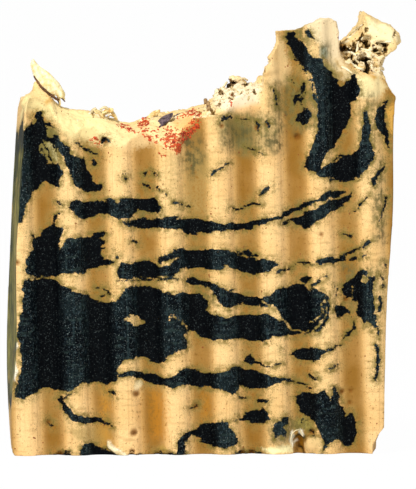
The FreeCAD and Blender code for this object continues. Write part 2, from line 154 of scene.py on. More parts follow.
# Charcoal swirls on the cut face, outlined in photograph pixels
SWIRLS = {
    "left_corner": [
        (35, 114), (36, 112), (42, 112), (43, 118), (45, 122), (50, 122), (53, 124), (55, 127), (50, 126),
        (45, 125), (48, 131), (46, 136), (56, 137), (61, 141), (66, 145), (70, 149), (72, 155), (77, 156),
        (84, 157), (85, 161), (86, 167), (90, 173), (93, 180), (95, 184), (101, 183), (103, 187), (102, 190),
        (96, 191), (88, 191), (80, 189), (75, 184), (72, 178), (70, 173), (68, 167), (64, 160), (61, 153),
        (57, 147), (52, 142), (46, 140), (40, 143), (38, 149), (40, 152), (45, 156), (48, 163), (52, 163),
        (57, 161), (60, 166), (63, 172), (60, 178), (60, 184), (59, 187), (50, 183), (44, 180), (40, 184),
        (34, 189), (28, 199), (25, 210), (22, 222), (14, 222), (14, 205), (16, 190), (17, 165), (19, 145),
        (23, 130), (29, 124), (31, 118), (33, 124), (35, 121)],
    "upper_band": [
        (67, 206), (70, 200), (76, 199), (81, 201), (100, 201), (106, 199), (112, 199), (118, 204),
        (120, 199), (125, 197), (140, 198), (156, 198), (159, 205), (161, 208), (160, 212), (156, 213),
        (150, 212), (145, 210), (138, 210), (130, 219), (118, 219), (108, 215), (96, 214), (85, 218),
        (80, 217), (76, 214), (68, 208)],
    "second_band": [
        (119, 221), (130, 221), (140, 217), (160, 218), (180, 218), (185, 219), (205, 219), (214, 221),
        (225, 224), (230, 223), (250, 222), (260, 219), (270, 218), (280, 215), (290, 210), (300, 206),
        (310, 201), (318, 198), (325, 193), (330, 191), (340, 190), (347, 193), (340, 197), (330, 199),
        (318, 202), (310, 206), (300, 211), (290, 215), (280, 220), (270, 222), (260, 225), (250, 229),
        (240, 230), (230, 230), (221, 233), (214, 231), (205, 232), (195, 235), (185, 233), (180, 230),
        (160, 227), (140, 228), (130, 227)],
    "right_second": [
        (281, 225), (290, 220), (300, 215), (310, 210), (318, 208), (325, 204), (330, 201), (340, 198),
        (348, 195), (352, 192), (352, 196), (350, 200), (343, 206), (336, 212), (329, 214), (322, 219),
        (314, 226), (305, 227), (298, 225), (292, 223)],
    "middle_band": [
        (117, 270), (120, 262), (130, 263), (140, 261), (150, 261), (160, 266), (170, 264), (176, 260),
        (180, 249), (190, 250), (210, 250), (226, 251), (235, 251), (240, 251), (250, 251), (255, 254),
        (259, 256), (256, 260), (270, 261), (276, 262), (279, 264), (275, 267), (270, 271), (260, 273),
        (250, 275), (240, 272), (235, 268), (226, 265), (220, 270), (210, 270), (200, 267), (190, 268),
        (180, 270), (175, 275), (170, 277), (150, 277), (140, 276), (130, 279), (119, 279)],
    "middle_strand": [
        (157, 259), (165, 254), (175, 249), (182, 248), (184, 254), (176, 258), (168, 261), (158, 263)],
    "right_thin": [
        (316, 262), (322, 259), (330, 257), (338, 258), (345, 255), (352, 251), (358, 248), (364, 245),
        (369, 241), (372, 242), (370, 245), (364, 248), (358, 252), (350, 256), (344, 261), (338, 264),
        (330, 264), (319, 266)],
    "upper_left_mass": [
        (53, 221), (52, 218), (55, 214), (59, 212), (60, 214), (55, 220), (56, 225), (61, 226), (64, 228),
        (62, 233), (60, 238), (59, 244), (60, 248), (62, 246), (64, 241), (67, 238), (75, 238), (85, 236),
        (90, 235), (95, 233), (104, 231), (107, 234), (98, 238), (105, 241), (99, 246), (104, 248),
        (99, 252), (104, 258), (110, 258), (115, 263), (105, 265), (95, 267), (85, 271), (75, 273),
        (62, 274), (58, 276), (45, 277), (30, 277), (27, 273), (25, 268), (27, 256), (30, 252), (33, 249),
        (31, 244), (32, 239), (37, 236), (42, 231), (46, 227), (50, 224)],
    "big_left_mass": [
        (28, 278), (24, 281), (22, 285), (23, 292), (22, 310), (20, 318), (17, 328), (15, 334), (20, 343),
        (19, 350), (21, 365), (19, 377), (17, 383), (14, 390), (16, 397), (24, 399), (28, 396), (36, 393),
        (42, 388), (45, 386), (50, 388), (56, 391), (68, 391), (77, 387), (80, 383), (90, 382), (104, 384),
        (115, 381), (118, 378), (117, 368), (124, 361), (130, 358), (140, 356), (145, 356), (150, 360),
        (160, 364), (165, 363), (167, 357), (175, 353), (185, 350), (188, 347), (187, 343), (184, 336),
        (189, 331), (194, 331), (200, 337), (212, 340), (228, 341), (245, 340), (262, 343), (270, 341),
        (272, 338), (279, 338), (288, 336), (292, 329), (286, 323), (278, 319), (268, 315), (250, 315),
        (235, 316), (227, 319), (218, 315), (208, 312), (204, 311), (209, 305), (207, 300), (200, 293),
        (186, 293), (176, 294), (163, 292), (160, 289), (145, 285), (135, 284), (126, 288), (119, 297),
        (116, 301), (105, 303), (95, 299), (84, 294), (72, 289), (60, 284), (57, 280), (53, 277)],
    "small_upper": [
        (186, 278), (192, 277), (206, 281), (217, 284), (221, 288), (232, 291), (245, 295), (258, 297),
        (270, 298), (278, 290), (290, 286), (300, 285), (310, 289), (322, 290), (329, 296), (331, 302),
        (331, 310), (328, 323), (320, 332), (308, 335), (293, 336), (285, 334), (284, 322), (276, 309),
        (272, 306), (255, 307), (243, 304), (238, 305), (230, 310), (226, 309), (217, 301), (216, 296),
        (210, 287), (198, 286), (186, 283)],
    "over_eye": [(300, 279), (303, 277), (313, 276), (310, 282), (306, 285), (301, 283)],
    "right_block": [
        (359, 272), (363, 270), (368, 272), (369, 276), (372, 278), (376, 276), (377, 280), (374, 284),
        (374, 302), (376, 308), (376, 317), (377, 326), (380, 328), (381, 335), (379, 341), (378, 332),
        (374, 327), (372, 322), (373, 332), (370, 324), (368, 321), (366, 326), (364, 321), (363, 317),
        (358, 317), (358, 302), (353, 302), (351, 297), (348, 298), (343, 294), (343, 290), (346, 284),
        (350, 281), (355, 278)],
    "right_chip": [
        (335, 306), (341, 305), (347, 308), (350, 312), (353, 317), (356, 326), (357, 330), (354, 333),
        (349, 338), (343, 340), (345, 336), (350, 333), (354, 329), (354, 324), (351, 316), (348, 314),
        (344, 317), (338, 316), (335, 314)],
    "low_lens": [
        (283, 351), (290, 354), (295, 351), (310, 348), (325, 350), (335, 346), (343, 346), (336, 350),
        (327, 353), (320, 360), (314, 362), (298, 360), (293, 357)],
    "right_edge_low": [(376, 344), (380, 350), (381, 360), (379, 378), (377, 383), (375, 382), (377, 360)],
    "low_drop": [
        (244, 360), (246, 356), (251, 354), (255, 361), (270, 365), (284, 364), (270, 368), (255, 365),
        (252, 368)],
    "lower_band": [
        (117, 377), (125, 371), (140, 372), (154, 375), (170, 377), (178, 373), (187, 369), (200, 371),
        (204, 374), (225, 372), (234, 367), (252, 370), (260, 374), (278, 377), (296, 381), (308, 386),
        (314, 389), (313, 390), (303, 387), (291, 382), (279, 384), (270, 388), (258, 389), (245, 389),
        (241, 386), (236, 392), (233, 395), (229, 394), (222, 390), (208, 388), (192, 386), (182, 384),
        (174, 388), (163, 386), (146, 382), (128, 376), (118, 378)],
    "low_left_tail": [
        (56, 398), (60, 395), (74, 393), (63, 397), (64, 402), (72, 412), (77, 415), (93, 417), (105, 419),
        (115, 428), (108, 425), (97, 422), (83, 424), (71, 420), (63, 411), (58, 401)],
    "foot_left": [(78, 452), (84, 444), (90, 443), (100, 447), (109, 450), (118, 457), (82, 457)],
    "foot_middle": [
        (177, 441), (184, 434), (192, 431), (198, 427), (203, 424), (223, 422), (228, 424), (233, 433),
        (239, 441), (237, 446), (228, 450), (213, 447), (201, 441), (192, 435), (186, 441), (184, 450),
        (187, 457), (177, 457)],
    "foot_middle_tail": [
        (231, 422), (240, 418), (250, 412), (262, 409), (268, 413), (271, 421), (254, 424), (244, 422)],
    "grey_low_core": [
        (273, 431), (275, 425), (281, 423), (284, 417), (290, 419), (289, 425), (284, 429), (288, 432),
        (286, 438), (280, 436), (276, 440)],
    "foot_dash": [(256, 399), (268, 401), (267, 404), (257, 403)],
    "foot_right": [
        (296, 397), (305, 395), (318, 394), (326, 391), (328, 398), (331, 400), (334, 393), (333, 388),
        (336, 387), (340, 394), (339, 399), (344, 408), (347, 418), (350, 417), (352, 414), (357, 422),
        (359, 434), (356, 443), (349, 448), (341, 443), (337, 441), (330, 446), (323, 455), (325, 443),
        (319, 433), (315, 421), (306, 416), (299, 409), (297, 404)],
    "upright": [
        (285, 37), (288, 33), (297, 31), (295, 37), (303, 42), (307, 49), (312, 57), (323, 60), (326, 68),
        (334, 74), (339, 82), (341, 86), (348, 81), (355, 75), (359, 82), (361, 93), (357, 100), (351, 104),
        (353, 115), (347, 125), (340, 138), (335, 149), (328, 152), (323, 163), (322, 168), (335, 162),
        (348, 156), (358, 151), (362, 141), (362, 131), (365, 124), (364, 113), (368, 108), (369, 121),
        (372, 131), (370, 142), (373, 147), (376, 155), (371, 165), (364, 171), (360, 178), (350, 181),
        (335, 179), (322, 178), (315, 175), (305, 167), (310, 153), (315, 140), (319, 128), (318, 115),
        (317, 100), (315, 87), (310, 75), (303, 66), (295, 56), (290, 45)],
    "upright_top": [(304, 30), (309, 29), (318, 41), (307, 38)],
    "right_upper_edge": [
        (390, 100), (386, 110), (385, 122), (390, 133), (391, 152), (386, 144), (385, 138), (378, 128),
        (376, 117), (379, 108), (387, 102)],
    "peak_mark_low": [
        (303, 109), (307, 108), (312, 111), (312, 116), (309, 119), (309, 124), (304, 125), (301, 122),
        (296, 122), (297, 116), (301, 113)],
    "edge_patch": [(387, 162), (385, 172), (377, 181), (374, 188), (372, 180), (379, 172)],
    "crescent": [
        (101, 143), (101, 139), (104, 136), (108, 137), (111, 141), (109, 142), (106, 140), (103, 142)],
}

# Tan and olive windows inside those swirls
WINDOWS = {
    "left_lens": [(121, 320), (127, 316), (134, 315), (147, 321), (141, 325), (136, 326), (130, 322)],
    "corner_window": [(46, 127), (57, 129), (65, 137), (57, 134), (48, 133)],
    "right_spot": [(341, 392), (345, 390), (344, 396)],
    "block_window": [(362, 275), (366, 275), (369, 280), (366, 284), (362, 281)],
}

# Thin charcoal threads, each with its width in pixels. Some are painted shadow, under the ledge of the crest
# and under the foot
THREADS = [
    (2.6, [(278, 272), (294, 268), (300, 263), (312, 264), (318, 262)]),
    (2.2, [(352, 259), (358, 259), (366, 257)]), (2.4, [(76, 143), (85, 147), (97, 154)]),
    (3.2, [(93, 161), (95, 163)]), (3.6, [(124, 176), (126, 178)]),
    (1.8, [(143, 184), (152, 188), (158, 187), (166, 195)]), (1.8, [(143, 174), (150, 171), (157, 175)]),
    (2.0, [(173, 201), (190, 208)]), (1.8, [(211, 175), (221, 167), (230, 163)]),
    (2.2, [(230, 208), (240, 209), (254, 203), (262, 204)]), (3.0, [(260, 195), (264, 190), (270, 188)]),
    (2.4, [(245, 147), (254, 151), (262, 154)]), (2.2, [(388, 196), (387, 205), (380, 222)]),
    (2.6, [(335, 160), (343, 156)]), (2.0, [(369, 197), (355, 212)]), (2.4, [(343, 234), (353, 238)]),
    (2.2, [(57, 201), (62, 205)]), (3.0, [(32, 235), (35, 237)]),
    (2.2, [(95, 288), (107, 289), (111, 293), (100, 296)]), (2.2, [(116, 250), (118, 258)]),
    (2.4, [(132, 241), (137, 243)]), (2.6, [(108, 391), (114, 395)]), (2.6, [(47, 420), (52, 424)]),
    (1.8, [(292, 54), (300, 64), (308, 74), (313, 85), (316, 100)]), (1.6, [(328, 180), (350, 183)]),
    (2.6, [(330, 370), (338, 366)]), (2.6, [(311, 375), (318, 380)]),
    (2.2, [(312, 286), (320, 281), (328, 277)]), (2.2, [(381, 276), (384, 279)]),
    (1.8, [(383, 284), (383.5, 288)]), (2.6, [(380.5, 298), (381.5, 305), (381, 312)]),
    (1.6, [(377, 317), (378, 321)]), (2.8, [(386, 264), (387, 268)]),
    (1.4, [(335, 287), (338, 290), (337.5, 296)]), (3.4, [(304, 85), (302, 91), (299, 97)]),
    (4.2, [(298, 96), (295, 103)]), (2.0, [(306, 92), (301, 99), (303, 105)]), (2.0, [(292, 80), (294, 84)]),
    # Painted shadow under the ledge of the crest, drawn as charcoal
    (3.0, [(219, 122), (224, 119), (231, 117)]), (1.8, [(236, 118), (244, 119), (250, 121)]),
    (2.4, [(256, 122), (259, 126), (258, 131)]), (2.4, [(267, 121), (270, 127)]),
    (2.2, [(274, 90), (276, 98), (278, 106)]), (1.6, [(118, 281), (140, 279), (160, 280), (178, 279)]),
    # Painted shadow under the foot, drawn as charcoal: the last thread of this line and those of the next
    (2.0, [(190, 409), (198, 405)]), (2.4, [(240, 398), (246, 398)]), (3.4, [(110, 454), (118, 456)]),
    (2.6, [(150, 455), (176, 455)]), (2.6, [(236, 454), (262, 453)]), (2.6, [(52, 454), (69, 453)]),
    (2.4, [(310, 431), (315, 436)]), (1.6, [(300, 425), (304, 420), (311, 423)]),
    (1.8, [(34, 128), (40, 133), (44, 138)]), (1.6, [(44, 131), (50, 134), (57, 135)]),
    (1.8, [(40, 140), (46, 147), (50, 157), (53, 163)]), (1.5, [(37, 143), (43, 150), (46, 158)]),
    (1.5, [(50, 141), (56, 149), (60, 157)]),
]

# Light threads drawn across the charcoal
LIGHT_THREADS = [
    (1.3, [(30, 277), (45, 277), (58, 276), (75, 273)]),
    (1.4, [(168, 321), (170, 315), (180, 320), (189, 330)]),
    (2.0, [(272, 305), (282, 318), (292, 329), (300, 331)]),
    (1.4, [(262, 300), (270, 306), (276, 314), (280, 322)]),
    (1.3, [(322, 304), (323, 313), (318, 319), (310, 322)]),
    (1.4, [(325, 298), (328, 308), (325, 320), (314, 332), (302, 334)]),
    (1.2, [(238, 256), (247, 257), (256, 257)]), (1.2, [(308, 72), (314, 84), (318, 98)]),
    (1.0, [(42, 139), (50, 148), (60, 158)]), (0.9, [(353, 286), (353.5, 298)]),
]

# Olive veils, where a little charcoal is mixed into the soap
VEILS = {
    "corner": [(34, 137), (42, 129), (55, 127), (66, 137), (62, 160), (56, 165), (40, 152)],
    "second": [(138, 208), (160, 208), (162, 218), (138, 218)],
    "right_second": [(285, 214), (300, 206), (325, 200), (325, 206), (300, 217), (286, 222)],
    "small_upper": [(203, 288), (217, 288), (217, 303), (205, 303)],
    "eye": [(281, 298), (296, 298), (297, 308), (283, 308)],
    "eye_low": [(296, 328), (316, 327), (316, 335), (297, 336)],
    "eye_ring": [(312, 296), (326, 294), (330, 312), (320, 332), (302, 334), (306, 326), (318, 318)],
    "upright_top": [(296, 29), (306, 29), (309, 46), (299, 42)],
    "peak_flank": [(292, 72), (316, 96), (316, 128), (296, 132), (284, 116), (286, 90)],
    "peak_lobe": [(323, 60), (334, 63), (336, 74), (325, 72)],
    "slope": [(222, 116), (262, 112), (282, 120), (284, 150), (262, 154), (224, 150)],
    "left_slope": [(184, 138), (198, 132), (204, 160), (192, 176), (182, 160)],
    "grey_low": [(270, 432), (278, 421), (292, 420), (292, 438), (284, 445), (272, 441)],
    "grey_edge": [(361, 95), (374, 95), (376, 148), (362, 146)],
    "grey_pebble": [(318, 45), (330, 45), (330, 61), (319, 61)],
    "grey_smudge": [(270, 83), (283, 84), (284, 112), (272, 111)],
    "right_block": [(342, 268), (378, 266), (380, 318), (372, 322), (346, 300)],
    "right_edge": [(372, 160), (384, 158), (388, 240), (376, 244)],
    "dome": [(294, 420), (308, 419), (309, 429), (294, 430)],
}

# Small voids and breaks in the cut face: middle and radius in pixels, depth in millimetres. Those
# with a depth under 0 stand out.
PITS = [
    (134, 433, 4.4, 1.0), (298, 137, 4.0, 0.7), (322, 235, 3.0, 0.5), (48, 422, 3.0, 0.5),
    (136, 394, 4.4, 0.8), (105, 140, 5.0, 1.0), (132, 452, 3.4, 1.2), (60, 455, 5.0, 1.0),
    (68, 456, 4.0, 1.0), (343, 393, 3.4, 0.6), (347, 300, 3.2, 0.5), (313, 433, 3.4, 0.7),
    (17, 262, 3.4, 0.6), (20, 339, 3.6, 0.8), (16, 386, 4.4, 0.9), (352, 392, 2.6, 0.4),
    (351, 404, 2.6, 0.4), (158, 456, 4.0, 1.2), (170, 456, 4.0, 1.2), (242, 454, 4.0, 1.0),
    (252, 454, 4.0, 1.0), (196, 407, 3.0, 0.4), (257, 128, 3.4, 0.6), (222, 126, 3.0, 0.5),
    (268, 125, 2.6, 0.5), (214, 189, 3.6, -0.35), (162, 449, 5.0, -0.5), (140, 386, 4.0, -0.3),
    (110, 443, 3.4, -0.55), (113, 448, 3.8, -0.6), (118, 452, 4.0, -0.6), (123, 455, 3.6, -0.5),
    (265, 191, 4.0, -0.3), (315, 447, 10.0, -0.35),
]

# Where the torn crest has crumbled: middle, half width and half height in pixels, turn in degrees,
# how strongly
CRUMBLED = [
    (367, 59, 27, 22, 0, 1.0), (236, 92, 34, 19, 0, 0.7), (206, 113, 14, 9, 0, 0.6),
    (104, 113, 15, 7, 0, 0.45), (160, 118, 26, 10, 0, 0.3), (268, 90, 12, 22, 0, 0.4),
]

# Hollows torn into the crest: middle, half width and half height in pixels, turn in degrees, depth in
# millimetres
HOLLOWS = [
    (345, 48, 3.4, 3.0, 0, 1.4), (352, 49.5, 5.0, 2.8, 10, 1.5), (365.5, 41, 3.6, 3.0, 10, 1.6),
    (369.5, 45, 4.0, 2.6, 25, 1.6), (361, 35, 2.8, 6.0, 12, 1.5), (357, 43.5, 2.6, 5.0, 0, 1.2),
    (349, 58, 5.0, 2.4, -8, 1.5), (363, 58, 6.0, 4.6, 20, 1.9), (367.5, 68, 2.8, 9.0, 4, 1.8),
    (356.5, 62, 3.0, 3.4, 0, 1.2), (383, 43, 6.4, 2.2, 8, 1.3), (386, 49, 2.4, 5.4, -25, 1.3),
    (368, 30, 2.2, 2.2, 0, 1.0), (343, 41, 1.8, 4.4, 0, 1.0), (396, 33, 1.6, 4.0, 0, 0.5),
    (348, 66, 3.0, 2.0, 0, 0.9), (341, 71, 5.0, 2.0, 0, 0.6), (352, 32, 3.4, 1.8, -40, 1.0),
    (357.5, 27.5, 3.4, 1.8, -40, 1.0), (364, 25, 2.6, 2.0, 0, 1.0), (347, 40, 3.0, 1.4, -20, 0.9),
    (231, 82, 4.0, 3.2, 0, 0.9), (245, 83, 3.4, 2.6, 0, 0.8), (220, 91, 2.6, 3.0, 0, 0.7),
    (254, 92, 2.6, 5.0, 20, 0.8), (231, 96, 3.4, 3.4, 0, 0.7), (212, 112, 2.6, 3.6, 0, 0.6),
    (233, 103, 2.8, 2.8, 0, 0.6), (303, 29, 3.0, 2.0, 0, 0.5), (272, 72, 7.0, 2.6, 15, 0.8),
]

# Torn strands of soap that bridge the hollows and curl off the edges: thickness and line in photograph
# pixels
STRANDS = [
    (3.0, [(360, 48), (368, 50), (374, 49)]), (2.5, [(374, 47), (379, 45.5), (384, 45)]),
    (3.0, [(360, 40), (358.5, 48), (357.5, 52)]),
    (3.2, [(343.5, 53), (349, 51.6), (354.4, 53.5), (358, 55.3)]),
    (3.5, [(345, 61.5), (351.6, 63.5), (358, 68), (365.3, 70.7)]),
    (2.5, [(354.4, 56), (359, 62.5), (364.4, 67)]), (4.0, [(368, 55.3), (372.5, 57.5), (374.4, 61)]),
    (3.0, [(347, 38), (352.5, 36), (356, 32.5), (360, 28.5)]),
    (3.0, [(343.5, 42.5), (347, 42), (351.6, 40)]),
    (3.0, [(350, 35), (354.4, 31), (359, 27.5), (364.4, 24)]), (2.2, [(376, 41), (385, 41.4), (393.5, 41)]),
    (2.0, [(375, 52.5), (379, 51.6), (383.5, 50.7)]), (3.0, [(372.5, 59), (369, 53.5), (365.3, 50.7)]),
    (2.4, [(362, 40), (366, 36), (372, 37)]), (2.6, [(341, 66), (347, 69), (354, 74)]),
    (3.4, [(88, 114), (92, 109), (96, 107)]), (3.2, [(95, 113), (100, 109), (105, 114)]),
    (3.0, [(99, 109), (104, 106), (109, 109)]), (3.0, [(105, 119), (109, 113), (114, 116)]),
    (2.8, [(91, 111), (96, 114), (100, 117)]), (2.2, [(218, 90), (224, 86), (228, 80)]),
    (2.4, [(228, 90), (236, 88), (241, 92)]), (2.2, [(238, 80), (244, 77), (249, 80)]),
    (2.0, [(222, 99), (229, 96), (236, 99)]), (2.2, [(246, 88), (250, 95), (248, 101)]),
    (2.0, [(205, 108), (210, 103), (216, 101)]),
    (4.2, [(107.5, 441), (109, 446), (114, 450.5), (121, 454), (126, 455)]),
    (1.3, [(291.5, 447), (291, 440), (293, 434), (297, 431.5), (301, 431)]),
    (1.3, [(301, 431), (302, 435), (304, 438)]),
]

# Dark threads under the husk, thickness and line in photograph pixels: the first is painted shadow under the
# husk's lower edge, partly dried bits; the others are dried stubs
DARK_THREADS = [
    (2.8, [(33, 74), (36.5, 80), (41, 86), (46, 91), (52, 95.5), (60, 99)]),
    (1.4, [(53, 96), (57, 99), (59, 104)]), (1.4, [(60, 97), (63, 99), (65, 101)]),
]

# Tinted places in the soap, real stains and painted light and shade among them: colour, strength, softness
# and outline in photograph pixels
STAINS_AND_SHADING = {
    # Painted light: paler cream where the front slopes of the crest face upwards
    "painted_light_shoulder": ("#F2DFA0", 0.7, 5, [
        (22, 92), (60, 104), (120, 118), (124, 142), (70, 140), (56, 124), (36, 110), (20, 112)]),
    "painted_light_saddle": ("#EFCF96", 0.6, 5, [
        (120, 121), (160, 124), (166, 142), (130, 150), (90, 146), (98, 130)]),
    # Painted shadow: golden brown on the soap under the husk's foot
    "painted_husk_shadow": ("#B98328", 0.8, 2, [
        (47, 90), (53, 92), (53, 99), (47, 104), (44, 101), (49, 97)]),
    "orange_lobe": ("#EDB06A", 0.75, 3, [
        (172, 122), (180, 114), (192, 115), (196, 122), (188, 129), (176, 131)]),
    # Painted shadow: an olive-brown band to the right of the orange lobe
    "painted_shadow_by_lobe": ("#8F6E34", 0.6, 4, [
        (193, 133), (205, 128), (208, 160), (203, 176), (195, 170), (192, 150)]),
    "crumb_cream": ("#F3E4C4", 0.7, 4, [
        (214, 88), (226, 78), (250, 78), (262, 84), (258, 104), (244, 112), (226, 112), (212, 106)]),
    "facet_foot": ("#DDAF72", 0.8, 3, [
        (234, 108), (250, 103), (262, 104), (262, 112), (250, 118), (234, 114)]),
    "slope": ("#8D8052", 0.5, 7, [
        (214, 120), (234, 118), (276, 110), (284, 128), (280, 152), (250, 154), (216, 148)]),
    "slope_dark": ("#5D5020", 0.7, 5, [
        (225, 116), (246, 118), (252, 132), (248, 148), (236, 146), (228, 132)]),
    "slope_right": ("#6C6038", 0.55, 4, [(270, 84), (280, 86), (284, 108), (280, 118), (272, 110)]),
    "peak_flank": ("#7A5C20", 0.75, 6, [
        (288, 74), (308, 76), (316, 98), (318, 122), (304, 130), (290, 124), (282, 108), (282, 90)]),
    "peak_core": ("#3A2C0C", 0.95, 2, [
        (304, 84), (307, 94), (302, 98), (296, 106), (292, 102), (291, 95), (298, 90)]),
    "peak_foot_shadow": ("#8A5C18", 0.85, 2, [(264, 77), (268, 72), (279, 69), (279, 73), (270, 76)]),
    "peak_gold": ("#CB9440", 0.7, 2, [(273, 60), (275, 50), (279, 47), (278, 60)]),
    "peak_rim": ("#E4C48C", 0.6, 4, [(264, 66), (276, 36), (284, 40), (292, 66), (286, 84), (270, 84)]),
    "peak_top": ("#EBD6AC", 0.8, 4, [
        (308, 16), (322, 13), (336, 17), (343, 30), (341, 58), (344, 72), (336, 66), (328, 58), (318, 42),
        (306, 28)]),
    "under_peak_top": ("#E2CA9A", 0.75, 3, [
        (330, 56), (344, 60), (358, 74), (352, 80), (338, 80), (332, 70)]),
    "corner_olive": ("#7C7440", 0.9, 2.5, [
        (34, 128), (44, 125), (57, 129), (61, 140), (59, 163), (46, 160), (38, 151), (34, 140)]),
    "corner_lens": ("#D8C890", 0.8, 1.5, [(47, 139), (52, 140), (57, 150), (57, 160), (52, 158), (48, 148)]),
    # Painted shadow: near-black wedges in the gaps under the foot of the cut face
    "shadow_under_foot_left": ("#1A0E06", 1.0, 1.0, [(50, 455), (56, 453), (68, 453), (72, 460), (50, 460)]),
    "shadow_under_foot_middle": ("#1A0E06", 1.0, 1.0, [
        (126, 455), (131, 453.2), (150, 454.6), (168, 453.6), (180, 453), (184, 460), (126, 460)]),
    "shadow_under_foot_right": ("#1A0E06", 1.0, 1.0, [(236, 453.5), (246, 452.5), (262, 453.5), (262, 460), (236, 460)]),
    # Painted shade: brown between the crumbled ridges beside the peak
    "painted_shade_by_peak": ("#A4834A", 0.8, 0.8, [
        (328, 66), (332, 69), (335, 68), (338, 72), (343, 72), (345, 77), (340, 80), (336, 76), (332, 74)]),
    "painted_shade_by_peak_high": ("#B08C50", 0.7, 0.8, [
        (335, 58), (339, 60), (340, 64), (345, 68), (341, 69), (337, 64)]),
    "pebble": ("#8C9A88", 0.85, 2, [(320, 47), (327, 46), (329, 55), (327, 60), (320, 58)]),
    "lobe": ("#A99A5C", 0.85, 2, [(322, 61), (332, 64), (336, 72), (328, 74), (323, 69)]),
    "lump_block": ("#F3E2B2", 0.8, 4, [(370, 18), (392, 24), (402, 40), (386, 44), (372, 42), (366, 28)]),
    "lump_foot": ("#F1DFA6", 0.7, 4, [(356, 76), (380, 74), (388, 88), (378, 100), (358, 98)]),
    "lump_gold": ("#C08A2C", 0.85, 2, [(367, 66), (372, 70), (378, 78), (374, 80), (368, 74)]),
    "right_rim": ("#E2AA4C", 0.7, 3, [(387, 106), (396, 104), (395, 136), (389, 130)]),
    "olive_dome": ("#9A9048", 0.8, 3, [
        (294, 422), (304, 417), (314, 424), (316, 434), (304, 430), (295, 430)]),
    "grey_low": ("#5C5C48", 0.6, 4, [
        (271, 430), (278, 420), (292, 421), (292, 440), (284, 446), (272, 443)]),
    # Painted shade: brown inside the small void beside the bead
    "shaded_void_floor": ("#7A5010", 0.95, 1.2, [
        (294, 438), (300, 435), (306, 437), (304, 446), (306, 455), (297, 455), (296, 447)]),
    "mid_haze": ("#A8935A", 0.4, 7, [(158, 150), (216, 150), (212, 216), (166, 216)]),
    "edge_white_high": ("#F8F2DC", 0.9, 1, [(11, 336), (16, 338), (18, 346), (15, 351), (11, 347)]),
    "edge_white_low": ("#F8F2DC", 0.9, 1, [(10, 360), (15, 358), (18, 372), (14, 381), (10, 374)]),
    "bead_ring": ("#7A5420", 0.8, 1.2, [
        (314, 435), (322, 437), (326, 445), (325, 452), (321, 457), (308, 457), (304, 451), (303, 444),
        (307, 438)]),
    "bead": ("#E2BE82", 0.95, 1.0, [
        (314, 437), (320, 438.5), (324, 444), (324, 450), (320, 457), (309, 457), (306, 451), (305, 445),
        (308.5, 439)]),
    # Painted shade: black at the top and the foot of that void
    "shaded_void_top": ("#120A04", 1.0, 1.0, [
        (294, 437), (299, 434), (301, 431), (303, 436), (309, 436), (305, 440), (300, 437), (296, 441)]),
    "shaded_void_foot": ("#120A04", 1.0, 1.0, [(297, 453), (306, 453), (306, 457), (297, 457)]),
    "void_rim": ("#FFFBE8", 0.95, 1.0, [
        (291, 433), (294, 431), (295, 437), (293, 442), (296, 449), (293, 449), (290, 441)]),
    "void_tooth": ("#FFFBE8", 0.95, 1.0, [(298, 430), (303, 430), (305, 436), (302, 435), (300, 432)]),
    "foot_cream": ("#FFF6BE", 0.75, 2, [(262, 449), (292, 446), (294, 454), (268, 455)]),
    "foot_curl": ("#FFFBE0", 0.95, 1.2, [
        (107, 440), (111, 441), (113, 446), (119, 450), (127, 456), (118, 456), (109, 450)]),
    "foot_gold": ("#A5863C", 0.8, 2, [(157, 449), (162, 446), (168, 448), (168, 453), (157, 453)]),
    "chipped": ("#F8E4B4", 0.75, 1.2, [(135, 380), (142, 380), (143, 385), (137, 391), (133, 392)]),
    "olive_under_tail": ("#8C7A44", 0.55, 4, [(60, 430), (96, 424), (112, 434), (104, 446), (80, 442)]),
    # Painted shade: warm orange down three of the lower troughs
    "lower_trough_shade": ("#CC8E2E", 0.45, 6, [(100, 384), (112, 384), (112, 450), (98, 450)]),
    "lower_trough_shade_2": ("#BF7D1E", 0.45, 7, [(148, 388), (166, 388), (168, 440), (150, 440)]),
    "lower_trough_shade_3": ("#BF7D1E", 0.4, 6, [(200, 392), (214, 392), (212, 424), (200, 424)]),
    "chip_floor": ("#E9C78E", 0.5, 3, [(366, 436), (384, 426), (384, 456), (372, 456)]),
}

# Crushed red clay: middle, half width and half height in pixels, turn in degrees, how thick it lies
CLAY = [
    (171, 140, 7, 8, 30, 1.0), (176, 146, 5, 6, 0, 1.0), (186, 134, 10, 5, -40, 0.9),
    (168, 130, 9, 4, 10, 0.6), (150, 134, 9, 5, 20, 0.45), (143, 122, 6, 4, -40, 0.8),
    (124, 126, 7, 3, 10, 0.5), (132, 131, 5, 2, 0, 0.5), (160, 141, 8, 3, 20, 0.4), (195, 124, 5, 6, 0, 0.8),
    (190, 112, 6, 3, -20, 0.7), (198, 116, 3, 4, 0, 0.5), (162, 160, 4, 12, 0, 0.3),
    (96, 141, 6, 4, 20, 0.6), (180, 116, 6, 3, -20, 0.4), (232, 101, 3, 5, 0, 0.3),
]

# The crest's front edge, where the fluted face ends, in photograph pixels
CREST_EDGE = [
    (0, 100), (24, 97), (34, 104), (48, 114), (58, 126), (80, 141), (100, 146), (160, 147), (175, 150),
    (187, 142), (197, 127), (208, 120), (220, 117), (234, 112), (248, 104), (262, 96), (274, 82), (280, 68),
    (281, 20), (342, 16), (344, 66), (358, 76), (372, 79), (384, 86), (396, 100), (416, 104),
]

# The husk on the left corner: its left and right edge from the tip down, in photograph pixels
HUSK_LEFT = [(31, 58), (29.5, 63), (31.5, 70), (33.5, 77), (38, 83), (43, 88), (49, 91.5), (55, 94),
             (61, 97.5)]
HUSK_RIGHT = [(32, 58), (36, 62), (41, 67.5), (49, 71.5), (53.5, 76.5), (58, 82.5), (61.5, 87.5), (65, 92),
              (63, 97.5)]
HUSK_DEPTH = 4.8
HUSK_THICKNESS = 0.55
HUSK_ACROSS = 6             # steps from edge to edge

